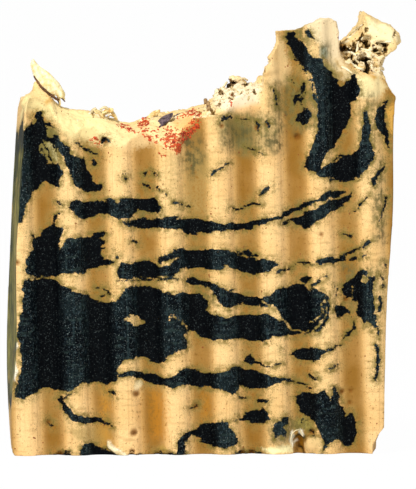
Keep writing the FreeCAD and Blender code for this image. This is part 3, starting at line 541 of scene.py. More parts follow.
# Its torn stubs: top and foot in photograph pixels, width in millimetres
STUBS = [((56, 93), (60, 105), 0.5), ((60, 94), (65, 98.5), 0.5), ((50, 90), (46, 104), 1.1),
         ((53, 92), (55, 99), 0.6), ((36, 78), (44, 88), 0.5)]
STUB_THICKNESS = 0.4
STUB_STEPS = 4

# Dried petals: start and end in photograph pixels, width and depth in millimetres, how steeply they stand
PURPLE_PETALS = [((151, 131), (173, 114), 2.1, 3.4, 0.8), ((168, 121), (187, 112), 1.3, 5.2, 0.6)]
PALE_PETALS = [((146, 118), (160, 110), 1.5, 6.4, 0.6), ((93, 109), (103, 117), 1.5, 6.6, 0.7),
               ((101, 113), (113, 109), 1.4, 6.0, 0.8), ((110, 110), (117, 119), 1.2, 6.4, 0.8)]
PETAL_THICKNESS = 0.3
PETAL_ALONG = 8             # steps along and across a petal
PETAL_ACROSS = 5

# Ragged strands: sides, steps on each stretch of their line, and depth where they meet no surface
STRAND_SIDES = 7
STRAND_STEPS = 4
STRAND_DEPTH = 4.5
STRAND_START = -4.0         # their surface is looked for from here, in millimetres
STRAND_SEARCH = 18.0        # as far as this
STRAND_THIN = 0.35          # their thickness at the ends, for 1 in the middle
STRAND_RAGGED = 0.55        # how ragged they are, for a radius of 1
STRAND_WAVES = 1.3          # with so many waves on a millimetre

# The soap's noise patterns: waves on a millimetre, detail, roughness, and how they are drawn out
EVEN = (1.0, 1.0, 1.0)
PATTERNS = {
    "drag": (2.2, 2.0, 0.5, (1.0, 1.0, 0.025)),     # upright marks of the cutter
    "flow": (1.5, 2.0, 0.5, FLOW_STRETCH),          # lying lines of the pour
    "cloud": (0.09, 2.0, 0.55, EVEN),
    "patch": (0.14, 2.0, 0.55, EVEN),
    "mottle": (0.45, 3.0, 0.55, EVEN),
    "blot": (0.85, 3.0, 0.65, EVEN),
    "speck": (1.1, 1.0, 0.55, EVEN),
    "fleck": (1.9, 2.0, 0.55, EVEN),
    "grit": (4.5, 2.0, 0.55, EVEN),
}

# What the corners of the skin carry for the material
CARRIED = ("trough", "torn", "stained", "strand", "crumbled", "cavity", "clay", "charcoal", "veil", "pitted",
           "wall")

# Sums that the tints follow: a first value, then patterns or carried values with their weights
SUMS = {
    "cut": (1.0, ("torn", -1.0)),
    "ragged_stain": (-0.8, ("stained", 1.0), ("fleck", 1.6)),
    "ragged_cavity": (-0.6, ("cavity", 1.0), ("fleck", 1.2)),
    "ragged_clay": (-1.8, ("clay", 0.8), ("fleck", 3.6)),
    "edge": (-0.85, ("charcoal", 1.0), ("fleck", 0.5), ("flow", 0.8), ("grit", 0.4)),
    "streak": (0.0, ("blot", 0.75), ("drag", 0.3)),
    "smear": (0.0, ("cloud", 0.3), ("mottle", 0.3), ("drag", 0.55)),
    "relief": (0.0, ("grit", 0.4), ("drag", 0.6), ("fleck", 0.5)),
}

# Tints, each laid over the one before: colour, strength, and the shares it is multiplied by. A share counts
# as it is, or it rises smoothly from 0 to 1 between two values, or between the two that follow them.
DUST = [("#CC4A20", 1.0), ("#8A220C", 1.0, ("grit", 0.42, 0.58))]
OLIVE = [("#8C8440", 1.0), ("#14220C", 1.0, ("smear", 0.44, 0.68))]
TAN = [
    ("#ECC588", 1.0),
    ("#E3B97A", 1.0, ("cloud", 0.35, 0.65)),
    ("#F4D69A", 0.15, ("mottle", 0.5, 0.75)),
    ("#AC8650", 0.4, ("flow", 0.52, 0.72)),
    ("#93642C", 0.22, ("drag", 0.54, 0.7)),
    # Painted shade: warmer and darker in the troughs
    ("#B5863C", 1.0, ("cut",), ("trough", 0.12, 0.8), ("patch", 0.35, 0.65, 0.5, 0.62)),
    ("#7C5410", 1.0, ("cut",), ("trough", 0.57, 1.0), ("patch", 0.35, 0.65, 0.74, 0.88)),
    ("#7A5222", 0.16, ("grit", 0.4, 0.65)),
    ("#8C5E2C", 0.4, ("fleck", 0.6, 0.72)),
    # Paler where it is torn: partly the torn soap's own tone, partly painted light on its upward faces.
    # Painted shade, brown to black, in its hollows, and white on its strands
    ("#E9CF92", 0.6, ("torn",)),
    ("#C99A55", 0.4, ("torn",), ("mottle", 0.52, 0.64)),
    ("stain", 1.0, ("stained",), ("ragged_stain", 0.0, 0.5)),
    ("#F8EBCB", 0.75, ("strand",)),
    ("#7A6232", 0.6, ("crumbled",), ("fleck", 0.53, 0.63)),
    ("#6E4C12", 0.9, ("ragged_cavity", 0.1, 0.45)),
    ("#1C1204", 1.0, ("ragged_cavity", 0.42, 0.75)),
    # The clay's dust round the grains, and reddish specks everywhere
    ("dust", 0.9, ("ragged_clay", 0.35, 0.6), ("clay", 0.02, 0.2)),
    ("#7E3A1C", 1.0, ("speck", 0.755, 0.775)),
    # Olive where charcoal has bled into the soap: streaked veils, a halo, specks and a rim
    ("#4E4A2C", 1.0, ("veil", -1.6, 0.8), ("streak", 0.44, 0.64, 0.2, 0.85)),
    ("#94854E", 0.42, ("cut",), ("charcoal", -2.6, 0.0), ("blot", 0.3, 0.62)),
    ("#3C3418", 0.6, ("charcoal", -2.2, 0.0), ("grit", 0.58, 0.64)),
    ("#6A5C28", 0.85, ("edge", -1.1, 0.05), ("blot", 0.36, 0.6)),
    # Painted shade: brown inside the small voids pressed into the cut face
    ("#744612", 0.9, ("pitted",)),
]
BLACK = [
    ("#01060A", 1.0),
    ("#101A1C", 1.0, ("cloud", 0.42, 0.66)),
    ("#2A3A3C", 0.45, ("drag", 0.52, 0.68)),
    ("#344440", 0.4, ("flow", 0.54, 0.68)),
    ("#36464C", 0.45, ("fleck", 0.54, 0.66)),
    ("#010306", 0.7, ("blot", 0.48, 0.62)),
    # Painted shade: blackest in the troughs. The grey flecks are the charcoal's own, made brighter on the
    # ridges as a painted glint
    ("#000103", 1.0, ("trough", 0.1, 0.8, 0.1, 0.95)),
    ("#74807E", 1.0, ("grit", 0.61, 0.72), ("trough", 0.1, 0.8, 0.75, 0.25)),
]
SOAP = [
    ("tan", 1.0),
    ("black", 1.0, ("edge", -0.08, 0.1)),
    # The mould walls carry smeared olive and green streaks over both
    ("olive", 1.0, ("wall",), ("edge", -2.2, 0.4, 0.9, 1.0)),
]


# Nodes and objects

def linear(hex_colour):
    """A linear colour from an sRGB hex value."""
    def channel(value):
        return value / 12.92 if value <= 0.04045 else ((value + 0.055) / 1.055) ** 2.4
    parts = [int(hex_colour[i:i + 2], 16) / 255 for i in (1, 3, 5)]
    return (*[channel(p) for p in parts], 1.0)


def add_node(tree, kind, settings=None, **links):
    """Adds a node: settings go to its properties, links come from sockets or are values of its inputs."""
    node = tree.nodes.new(kind)
    for name, value in (settings or {}).items():
        setattr(node, name, value)
    for name, source in links.items():
        key = int(name[1:]) if name[0] == "i" and name[1:].isdigit() else name.replace("_", " ")
        socket = node.inputs[key]
        if isinstance(source, bpy.types.NodeSocket):
            tree.links.new(source, socket)
        else:
            socket.default_value = source
    return node


def add_object(name, data):
    """A new object in the scene."""
    thing = bpy.data.objects.new(name, data)
    bpy.context.scene.collection.objects.link(thing)
    return thing


def worked_mesh(thing):
    """The mesh of an object as its modifiers leave it. They are taken off the object."""
    depsgraph = bpy.context.evaluated_depsgraph_get()
    mesh = bpy.data.meshes.new_from_object(thing.evaluated_get(depsgraph))
    thing.modifiers.clear()
    return mesh


# Places in the photograph

def to_pixels(points):
    """Where points of the model, in millimetres, lie in the photograph."""
    depth = np.clip(points[:, 1] - FACE, 0, VIEW_DEEPEST)
    x = points[:, 0] + depth * math.sin(VIEW_TURN)
    z = points[:, 2] + depth * math.sin(VIEW_RISE)
    return np.stack([PX_MIDDLE + PX_PER_MM * x, PX_BASE - PX_PER_MM * z], axis=1)


def at_pixel(px, py, depth):
    """The place that shows at a spot of the photograph, at a depth behind the middle of the cut."""
    back = depth + FLUTE_RISE / 2
    x = (px - PX_MIDDLE) / PX_PER_MM - back * math.sin(VIEW_TURN)
    z = (PX_BASE - py) / PX_PER_MM - back * math.sin(VIEW_RISE)
    return (x, FRONT + depth, z)


def between(a, b, share):
    """The spot at a share of the way between two spots."""
    return (a[0] + (b[0] - a[0]) * share, a[1] + (b[1] - a[1]) * share)


def near_to(spots, corners):
    """Which spots lie within reach of the box round some corners."""
    low = corners.min(axis=0) - REACH
    high = corners.max(axis=0) + REACH
    return np.all((spots > low) & (spots < high), axis=1)


def distance_from(spots, starts, ends):
    """The distance of spots from the nearest of some line segments."""
    distance = np.full(len(spots), REACH)
    for a, b in zip(starts, ends):
        run = b - a
        share = np.clip(((spots - a) @ run) / max(run @ run, TINY), 0, 1)
        distance = np.minimum(distance, np.linalg.norm(spots - (a + share[:, None] * run), axis=1))
    return distance


def inside_by(spots, outline):
    """How far spots lie inside an outline, negative outside."""
    corners = np.array(outline, float)
    ends = np.roll(corners, -1, axis=0)
    near = near_to(spots, corners)
    x, y = spots[near].T
    odd = np.zeros(len(x), bool)
    for a, b in zip(corners, ends):
        crosses = (a[1] > y) != (b[1] > y)
        rise = b[1] - a[1] if abs(b[1] - a[1]) > TINY else TINY
        odd ^= crosses & (x < (b[0] - a[0]) * (y - a[1]) / rise + a[0])
    distance = distance_from(spots[near], corners, ends)
    result = np.full(len(spots), -REACH)
    result[near] = np.where(odd, distance, -distance)
    return result


def on_thread_by(spots, width, line):
    """How far spots lie inside a thread, negative outside."""
    corners = np.array(line, float)
    near = near_to(spots, corners)
    result = np.full(len(spots), -REACH)
    result[near] = width / 2 - distance_from(spots[near], corners[:-1], corners[1:])
    return result


def inside_any(spots, outlines, threads=()):
    """How far spots lie inside some outlines and threads, negative outside all of them."""
    result = np.full(len(spots), -REACH)
    for outline in outlines.values():
        result = np.maximum(result, inside_by(spots, outline))
    for width, line in threads:
        result = np.maximum(result, on_thread_by(spots, width, line))
    return result


def oval_share(spots, px, py, half_width, half_height, turn_deg=0.0):
    """1 in the middle of an oval, falling to 0 at its rim."""
    turn = math.radians(turn_deg)
    dx = spots[:, 0] - px
    dy = spots[:, 1] - py
    along = dx * math.cos(turn) + dy * math.sin(turn)
    across = dy * math.cos(turn) - dx * math.sin(turn)
    away = (along / half_width) ** 2 + (across / half_height) ** 2
    return np.clip(1 - away, 0, 1)


def in_ovals(spots, ovals, spread=1.0):
    """How strongly spots lie in the strongest of some ovals."""
    share = np.zeros(len(spots))
    for px, py, half_width, half_height, turn_deg, weight in ovals:
        here = oval_share(spots, px, py, spread * half_width, spread * half_height, turn_deg)
        share = np.maximum(share, weight * np.sqrt(here))
    return share


# The bar's form

def drift(points, name):
    """Smooth random offsets, a vector for each point."""
    per_mm, seed, amount = DRIFTS[name]
    shift = Vector((seed * 7.1, seed * 3.7, seed * 5.3))
    return np.array([noise.noise_vector(Vector(p) * per_mm + shift) for p in points]) * amount


def wave_y(x, z, mean_y):
    """The depth of the wavy cut at places on the face."""
    half = FLUTE_PITCH / 2
    rise = FLUTE_RISE / 2
    radius = (half * half / 4 + rise * rise) / (2 * rise)
    along = (x + z * FLUTE_LEAN - FIRST_TROUGH + half / 2) / half
    cell = np.floor(along)
    side = np.where(cell % 2 == 0, 1.0, -1.0)
    across = (along - cell - 0.5) * half
    return mean_y + side * (np.sqrt(radius * radius - across * across) - (radius - rise))


def flute_depth(x, z):
    """0 on the crest of a front flute, 1 in its trough."""
    return (wave_y(x, z, 0.0) / (FLUTE_RISE / 2) + 1) / 2


def crest_edge_z(x):
    """The height where the fluted face ends, at places along it."""
    edge = np.array(CREST_EDGE, float)
    return (PX_BASE - np.interp(x * PX_PER_MM + PX_MIDDLE, edge[:, 0], edge[:, 1])) / PX_PER_MM


def mesh_vectors(mesh, name):
    """The places or normals of a mesh's corners."""
    flat = np.empty(len(mesh.vertices) * 3)
    mesh.vertices.foreach_get(name, flat)
    return flat.reshape(-1, 3)


def mesh_values(mesh, name):
    """The numbers that the corners of a mesh carry."""
    values = np.empty(len(mesh.vertices), np.float32)
    mesh.attributes[name].data.foreach_get("value", values)
    return values.astype(float)


def put_values(mesh, name, values):
    """Stores one number for each corner of a mesh, for its material."""
    layer = mesh.attributes.new(name, "FLOAT", "POINT")
    layer.data.foreach_set("value", np.ascontiguousarray(values, dtype=np.float32))


def put_colours(mesh, name, colours):
    """Stores a linear colour with a strength for each corner of a mesh."""
    flat = colours.copy()
    flat[:, :3] /= np.maximum(flat[:, 3:], 1e-6)
    layer = mesh.attributes.new(name, "FLOAT_COLOR", "POINT")
    layer.data.foreach_set("color", np.ascontiguousarray(flat, dtype=np.float32).ravel())


def voxel_skin(source, name, step):
    """A closed, even skin over a solid."""
    mesh = source.data.copy()
    tidy = bmesh.new()
    tidy.from_mesh(mesh)
    bmesh.ops.remove_doubles(tidy, verts=tidy.verts, dist=1e-6)
    tidy.to_mesh(mesh)
    tidy.free()
    skin = add_object(name, mesh)
    remesh = skin.modifiers.new("even_skin", "REMESH")
    remesh.mode = "VOXEL"
    remesh.voxel_size = step * MM
    remesh.use_smooth_shade = True
    skin.data = worked_mesh(skin)
    skin.data.materials.clear()
    return skin


def thin_out(skin, far, triangles):
    """Leaves about so many triangles, taking them away only from the far corners."""
    skin.data.calc_loop_triangles()
    group = skin.vertex_groups.new(name="far")
    group.add([int(i) for i in np.nonzero(far)[0]], 1.0, "REPLACE")
    fewer = skin.modifiers.new("fewer_triangles", "DECIMATE")
    fewer.ratio = triangles / len(skin.data.loop_triangles)
    fewer.vertex_group = group.name
    result = worked_mesh(skin)
    skin.vertex_groups.clear()
    skin.data = result


def snap_to_cuts(points, normals):
    """Lays the skin near a wavy cut exactly on it, and says which corners lie on the front and the back."""
    x, y, z = points.T
    front_gap = y - wave_y(x, z, FRONT)
    back_gap = y - wave_y(x, z, BACK)
    on_front = (np.abs(front_gap) < SNAP_REACH) & (normals[:, 1] < -SNAP_FACING)
    on_back = (np.abs(back_gap) < SNAP_REACH) & (normals[:, 1] > SNAP_FACING)
    points[on_front, 1] -= front_gap[on_front]
    points[on_back, 1] -= back_gap[on_back]
    return on_front, on_back


def lean_corner(points):
    """Draws the left corner in towards its tip."""
    high = np.clip(points[:, 2] - LEAN_FOOT, 0, LEAN_HEIGHT)
    outer = np.clip((LEAN_EDGE - points[:, 0]) / LEAN_WIDTH, 0, 1)
    points[:, 0] += LEAN_STRENGTH * high ** 2 * outer


def torn_places(points, normals, on_cut):
    """1 where the crest is torn, 0 on the cuts and the walls."""
    x, y, z = points.T
    past_edge = z > np.minimum(crest_edge_z(x), EDGE_TOP)
    upward = normals[:, 2] > TORN_FACING
    torn = ~on_cut & (z > CREST_FOOT) & (past_edge | upward) & (upward | (z > WALL_TOP))
    return torn.astype(float)


def tear(points, normals, torn, crumbled):
    """Roughens the torn crest, and says where the strands of crumbled soap run, with 1 on their ridges."""
    rough = np.zeros(len(points))
    ridges = np.zeros(len(points))
    for i in np.nonzero(torn > 0)[0]:
        p = Vector(points[i])
        middle = noise.fractal(p * 1.1 + Vector((9, 0, 4)), 1.0, 2.0, 2) * TORN_MIDDLE
        fine = noise.noise(p * 2.9) * TORN_FINE
        wavy = p + noise.noise_vector(p * 0.7) * 0.8
        away = abs(noise.noise(Vector((wavy.x * 0.45, wavy.y * 0.5, wavy.z * 0.95))))
        ridges[i] = 1 - STRAND_SHARPNESS * away
        rough[i] = middle + fine + crumbled[i] * CRUMBLE * (max(ridges[i], -1) - CRUMBLE_SUNK)
    points += normals * rough[:, None]
    return ridges


def open_hollows(points, normals, spots, torn):
    """Sinks the hollows into the crest, and says how far in one each corner lies, from 0 to 1."""
    hollow = np.zeros(len(points))
    uneven = spots + drift(points, "hollow_edge")[:, [0, 2]]
    for *oval, depth in HOLLOWS:
        share = oval_share(uneven, *oval) * torn * (points[:, 1] < FRONT + SEEN_DEPTH)
        points[:, 1] += share * depth * HOLLOW_IN
        points[:, 2] -= share * depth * HOLLOW_DOWN * (normals[:, 2] > 0.5)
        hollow = np.maximum(hollow, np.sqrt(share) * min(1.0, 0.35 + 0.4 * depth))
    return hollow


def press_pits(points, on_front):
    """Presses the small voids into the cut face, and says how far in one each corner lies."""
    spots = to_pixels(points)
    pitted = np.zeros(len(points))
    for px, py, radius, depth in PITS:
        share = oval_share(spots, px, py, radius, radius) * on_front
        points[:, 1] += share * depth
        if depth > 0:
            pitted = np.maximum(pitted, share)
    return pitted


def wall_share(points, normals, torn, on_cut):
    """How strongly the mould walls are smeared."""
    height = points[:, 2] + drift(points, "smear_edge")[:, 2]
    from_foot = np.clip((height - SMEAR_FOOT) / SMEAR_FADE, SMEAR_LEAST, 1)
    from_top = np.clip((SMEAR_TOP - height) / SMEAR_FADE, SMEAR_LEAST, 1)
    sideways = np.clip(np.abs(normals[:, 0]) * 2.0 - 0.9, 0, 1)
    return sideways * (from_foot * from_top) * (1 - torn) * ~on_cut


def bar_skin():
    """The whole bar: smooth wavy cuts, plain mould walls and a rough torn crest."""
    skin = voxel_skin(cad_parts["soap_bar"], "soap_skin", SKIN_STEP)
    x, y, z = mesh_vectors(skin.data, "co").T / MM
    far = (y > FRONT + FINE_FRONT) & ((z < CREST_FOOT) | (y > FRONT + FINE_CREST))
    thin_out(skin, far, SKIN_TRIANGLES)
    mesh = skin.data
    points = mesh_vectors(mesh, "co") / MM
    normals = mesh_vectors(mesh, "normal")
    on_front, on_back = snap_to_cuts(points, normals)
    on_cut = on_front | on_back
    lean_corner(points)
    torn = torn_places(points, normals, on_cut)
    spots = to_pixels(points)
    depth = points[:, 1] - FRONT
    crumbled = in_ovals(spots, CRUMBLED) * (depth < SEEN_DEPTH)
    crumbled = np.maximum(crumbled, UNSEEN_CRUMBLED * (depth > SEEN_DEPTH)) * torn
    ridges = tear(points, normals, torn, crumbled)
    hollow = open_hollows(points, normals, spots, torn)
    pitted = press_pits(points, on_front)
    points = np.clip(points, np.array(cad_box[0]) / MM, np.array(cad_box[1]) / MM)
    mesh.vertices.foreach_set("co", (points * MM).ravel())
    mesh.update()
    put_values(mesh, "pitted", pitted)
    put_values(mesh, "crumbled", crumbled)
    # How far in a hollow each corner lies: for its painted shade, and to keep crumbs out
    put_values(mesh, "cavity", np.maximum(np.clip(-0.2 - ridges, 0, 1) * crumbled, hollow))
    put_values(mesh, "strand", np.clip(ridges, 0, 1) * crumbled)
    put_values(mesh, "wall", wall_share(points, normals, torn, on_cut))
    # Where the painted shade of the troughs falls: the depth of the flute, shifted to the right
    put_values(mesh, "trough", flute_depth(points[:, 0] - TROUGH_SHADE_SHIFT, points[:, 2]))
    put_values(mesh, "torn", torn)
    put_values(mesh, "clay", clay_share(points))
    paint_bar(mesh, points, torn)
    return skin


def clay_share(points):
    """How thickly the crushed clay lies."""
    share = in_ovals(to_pixels(points), CLAY, CLAY_SPREAD)
    return share * (points[:, 2] > CREST_FOOT) * (points[:, 1] < FRONT + CLAY_DEPTH)


def paint_bar(mesh, points, torn):
    """Stores the swirls and tints of the soap, painted light and shade among them, on the corners of its
    skin, in millimetres from their edges.
    """
    depth = np.clip(points[:, 1] - FACE - FLUTE_RISE, 0, None)
    strength = (1 - np.exp(-depth / WANDER_DEPTH)) * (1 - torn * (points[:, 1] < FRONT + SEEN_DEPTH))
    wander = drift(points, "wander_wide") + drift(points, "wander_close")
    outer = (np.abs(points[:, 0]) > WALL_EDGE) * (1 - torn)
    moved = points.copy()
    moved[:, 0] += wander[:, 0] * strength
    moved[:, 2] += wander[:, 2] * strength * WANDER_DOWN
    moved[:, 0] -= np.sign(points[:, 0]) * depth * WALL_DRAW * outer
    fray = drift(points, "fray_coarse") + drift(points, "fray_fine")
    tint_spots = to_pixels(moved) + fray[:, [0, 2]]
    spots = tint_spots.copy()
    spots[:, 1] += drift(points * np.array(FLOW_STRETCH), "flow")[:, 2]
    charcoal = inside_any(spots, SWIRLS, THREADS)
    charcoal = np.minimum(charcoal, -inside_any(spots, WINDOWS, LIGHT_THREADS))
    put_values(mesh, "charcoal", charcoal / PX_PER_MM)
    put_values(mesh, "veil", inside_any(spots, VEILS) / PX_PER_MM)
    stain = np.zeros((len(spots), 4))
    near = points[:, 1] < FRONT + STAIN_DEPTH
    for hex_colour, strength, soft, outline in STAINS_AND_SHADING.values():
        share = np.clip((inside_by(tint_spots, outline) + soft) / (2 * soft), 0, 1) * strength * near
        stain += (np.array(linear(hex_colour)) - stain) * share[:, None]
    put_colours(mesh, "stain", stain)
    put_values(mesh, "stained", stain[:, 3])


# Materials

def new_material(name, roughness):
    """A material with its tree and its shader."""
    material = bpy.data.materials.new(name)
    material.use_nodes = True
    shader = material.node_tree.nodes["Principled BSDF"]
    shader.inputs["Roughness"].default_value = roughness
    return material, material.node_tree, shader


def lay_tints(tree, sources, tints):
    """The colour that a list of tints gives. Its names stand for the sockets in sources."""
    result = None
    for colour, strength, *shares in tints:
        colour = linear(colour) if colour[0] == "#" else sources[colour]
        for name, *span in shares:
            share = sources[name]
            if span:
                ends = dict(zip(("From_Min", "From_Max", "To_Min", "To_Max"), span))
                share = add_node(tree, "ShaderNodeMapRange", {"interpolation_type": "SMOOTHSTEP"},
                                 Value=share, **ends).outputs["Result"]
            strength = add_node(tree, "ShaderNodeMath", {"operation": "MULTIPLY"}, i0=share,
                                i1=strength).outputs["Value"]
        if result is None:
            result = colour
        else:
            result = add_node(tree, "ShaderNodeMix", {"data_type": "RGBA"}, i0=strength, i6=result,
                              i7=colour).outputs[2]
    return result


def soap_material():
    """Cold-process soap, poured, cured and cut: a waxy, slightly grainy, matt surface whose charcoal
    swirls have frayed edges with an olive rim, and fine upright drag marks left by the cutter."""
    material, tree, shader = new_material("cold_process_soap_cut", 0.55)
    shader.inputs["IOR"].default_value = 1.46
    shader.inputs["Specular IOR Level"].default_value = 0.05
    place = add_node(tree, "ShaderNodeTexCoord").outputs["Object"]
    sources = {}
    for name, (per_mm, detail, roughness, stretch) in PATTERNS.items():
        drawn = add_node(tree, "ShaderNodeMapping", {}, Vector=place, Scale=stretch).outputs["Vector"]
        sources[name] = add_node(tree, "ShaderNodeTexNoise", {}, Vector=drawn, Scale=per_mm / MM,
                                 Detail=detail, Roughness=roughness).outputs["Fac"]
    for name in CARRIED:
        sources[name] = add_node(tree, "ShaderNodeAttribute", {"attribute_name": name}).outputs["Fac"]
    stain = add_node(tree, "ShaderNodeAttribute", {"attribute_name": "stain"})
    sources["stain"] = stain.outputs["Color"]
    for name, (total, *terms) in SUMS.items():
        for source, weight in terms:
            total = add_node(tree, "ShaderNodeMath", {"operation": "MULTIPLY_ADD"}, i0=sources[source],
                             i1=weight, i2=total).outputs["Value"]
        sources[name] = total
    for name, tints in (("dust", DUST), ("olive", OLIVE), ("tan", TAN), ("black", BLACK)):
        sources[name] = lay_tints(tree, sources, tints)
    tree.links.new(lay_tints(tree, sources, SOAP), shader.inputs["Base Color"])

    # Relief: drag marks on the cuts, grit everywhere
    bump = add_node(tree, "ShaderNodeBump", {}, Height=sources["relief"], Distance=0.12 * MM, Strength=0.8)
    tree.links.new(bump.outputs["Normal"], shader.inputs["Normal"])
    return material


def plain_material(name, hex_a, hex_b, per_mm, roughness, bump_mm):
    """Two mottled shades and a fine relief."""
    material, tree, shader = new_material(name, roughness)
    place = add_node(tree, "ShaderNodeTexCoord").outputs["Object"]
    cloud = add_node(tree, "ShaderNodeTexNoise", {}, Vector=place, Scale=per_mm / MM, Detail=3.0)
    ramp = add_node(tree, "ShaderNodeMapRange", {}, Value=cloud.outputs["Fac"], From_Min=0.35, From_Max=0.65)
    tint = add_node(tree, "ShaderNodeMix", {"data_type": "RGBA"}, i0=ramp.outputs["Result"],
                    i6=linear(hex_a), i7=linear(hex_b))
    tree.links.new(tint.outputs[2], shader.inputs["Base Color"])
    bump = add_node(tree, "ShaderNodeBump", {}, Height=cloud.outputs["Fac"], Distance=bump_mm * MM)
    tree.links.new(bump.outputs["Normal"], shader.inputs["Normal"])
    return material


# Crumbs, grains and dried bits

def patch_of(skin, amount, least=0.03):
    """The part of the skin where an amount is more than the least, carrying that amount."""
    mesh = skin.data.copy()
    put_values(mesh, "amount", amount)
    cut = bmesh.new()
    cut.from_mesh(mesh)
    layer = cut.verts.layers.float["amount"]
    bare = [v for v in cut.verts if v[layer] < least]
    bmesh.ops.delete(cut, geom=bare, context="VERTS")
    cut.to_mesh(mesh)
    cut.free()
    return add_object("patch", mesh)


def scatter_tree():
    """Geometry nodes that strew broken grains over a surface, more where its amount is larger."""
    tree = bpy.data.node_groups.new("strewn_grains", "GeometryNodeTree")
    face = tree.interface
    sockets = {"Surface": "Geometry", "Spacing": "Float", "Density": "Float", "Smallest": "Float",
               "Largest": "Float", "Raggedness": "Float", "Sink": "Float", "Seed": "Int",
               "Material": "Material"}
    for name, kind in sockets.items():
        face.new_socket(name=name, in_out="INPUT", socket_type="NodeSocket" + kind)
    face.new_socket(name="Grains", in_out="OUTPUT", socket_type="NodeSocketGeometry")
    given = add_node(tree, "NodeGroupInput").outputs
    seed = given["Seed"]
    amount = add_node(tree, "GeometryNodeInputNamedAttribute", {"data_type": "FLOAT"}, Name="amount")
    spread = add_node(tree, "GeometryNodeDistributePointsOnFaces", {"distribute_method": "POISSON"},
                      Mesh=given["Surface"], Distance_Min=given["Spacing"], Density_Max=given["Density"],
                      Density_Factor=amount.outputs["Attribute"], Seed=seed)
    pebble = add_node(tree, "GeometryNodeMeshIcoSphere", {}, Radius=0.5, Subdivisions=1)
    turn = add_node(tree, "FunctionNodeRandomValue", {"data_type": "FLOAT_VECTOR"}, i1=ANY_TURN, Seed=seed)
    size = add_node(tree, "FunctionNodeRandomValue", {"data_type": "FLOAT"}, i2=given["Smallest"],
                    i3=given["Largest"], Seed=seed)
    squash = add_node(tree, "FunctionNodeRandomValue", {"data_type": "FLOAT_VECTOR"}, i0=(0.55, 0.55, 0.55),
                      i1=EVEN, Seed=seed)
    scale = add_node(tree, "ShaderNodeVectorMath", {"operation": "SCALE"}, i0=squash.outputs["Value"],
                     Scale=size.outputs[1])
    laid = add_node(tree, "GeometryNodeInstanceOnPoints", {}, Points=spread.outputs["Points"],
                    Instance=pebble.outputs["Mesh"], Rotation=turn.outputs["Value"],
                    Scale=scale.outputs["Vector"])
    real = add_node(tree, "GeometryNodeRealizeInstances", {}, Geometry=laid.outputs["Instances"])
    wobble = add_node(tree, "ShaderNodeTexNoise", {"noise_dimensions": "3D"}, Scale=1.3 / MM, Detail=1.0)
    centred = add_node(tree, "ShaderNodeVectorMath", {"operation": "SUBTRACT"}, i0=wobble.outputs["Color"],
                       i1=(0.5, 0.5, 0.5))
    shove = add_node(tree, "ShaderNodeVectorMath", {"operation": "SCALE"}, i0=centred.outputs["Vector"],
                     Scale=given["Raggedness"])
    ragged = add_node(tree, "GeometryNodeSetPosition", {}, Geometry=real.outputs["Geometry"],
                      Offset=shove.outputs["Vector"])
    down = add_node(tree, "ShaderNodeCombineXYZ", {}, Z=given["Sink"])
    sunk = add_node(tree, "GeometryNodeSetPosition", {}, Geometry=ragged.outputs["Geometry"],
                    Offset=down.outputs["Vector"])
    done = add_node(tree, "GeometryNodeSetMaterial", {}, Geometry=sunk.outputs["Geometry"],
                    Material=given["Material"])
    out = add_node(tree, "NodeGroupOutput")
    tree.links.new(done.outputs["Geometry"], out.inputs["Grains"])
    return tree


def strew(name, tree, skin, amount, material):
    """Strews grains over a skin, more where the amount is larger, and gives them as one plain mesh."""
    spacing, density, smallest, largest, ragged, sink, seed = STREWN[name]
    patch = patch_of(skin, amount)
    modifier = patch.modifiers.new(name, "NODES")
    modifier.node_group = tree
    wanted = {"Spacing": spacing * MM, "Density": density / (MM * MM), "Smallest": smallest * MM,
              "Largest": largest * MM, "Raggedness": ragged * MM, "Sink": -sink * MM, "Seed": seed,
              "Material": material}
    for item in tree.interface.items_tree:
        if item.in_out == "INPUT" and item.name in wanted:
            modifier[item.identifier] = wanted[item.name]
    piece = add_object(name, worked_mesh(patch))
    bpy.data.objects.remove(patch)
    if not piece.data.materials:
        piece.data.materials.append(material)
    return piece


def finish_shell(mesh):
    """Turns the faces of a closed mesh outwards and shades them smooth."""
    shell = bmesh.new()
    shell.from_mesh(mesh)
    bmesh.ops.recalc_face_normals(shell, faces=shell.faces)
    shell.to_mesh(mesh)
    shell.free()
    mesh.polygons.foreach_set("use_smooth", [True] * len(mesh.polygons))


def sheet_mesh(name, rows, thickness, material):
    """A thin ragged sheet through rows of points in millimetres, given a thickness."""
    mesh = bpy.data.meshes.new(name)
    across = len(rows[0])
    corners = [tuple(Vector(p) * MM) for row in rows for p in row]
    faces = [(i + j, i + j + 1, i + across + j + 1, i + across + j)
             for i in range(0, len(corners) - across, across) for j in range(across - 1)]
    mesh.from_pydata(corners, [], faces)
    mesh.materials.append(material)
    piece = add_object(name, mesh)
    shell = piece.modifiers.new("thickness", "SOLIDIFY")
    shell.thickness = thickness * MM
    shell.offset = 0.0
    smooth = piece.modifiers.new("rounding", "SUBSURF")
    smooth.levels = 1
    smooth.render_levels = 1
    piece.data = worked_mesh(piece)
    finish_shell(piece.data)
    return piece


def join(name, pieces, finish):
    """Several pieces as one mesh, all in one material."""
    whole = bmesh.new()
    for piece in pieces:
        whole.from_mesh(piece.data)
    for face in whole.faces:
        face.material_index = 0
    mesh = bpy.data.meshes.new(name)
    whole.to_mesh(mesh)
    whole.free()
    mesh.materials.append(finish)
    for piece in pieces:
        bpy.data.objects.remove(piece)
    return add_object(name, mesh)


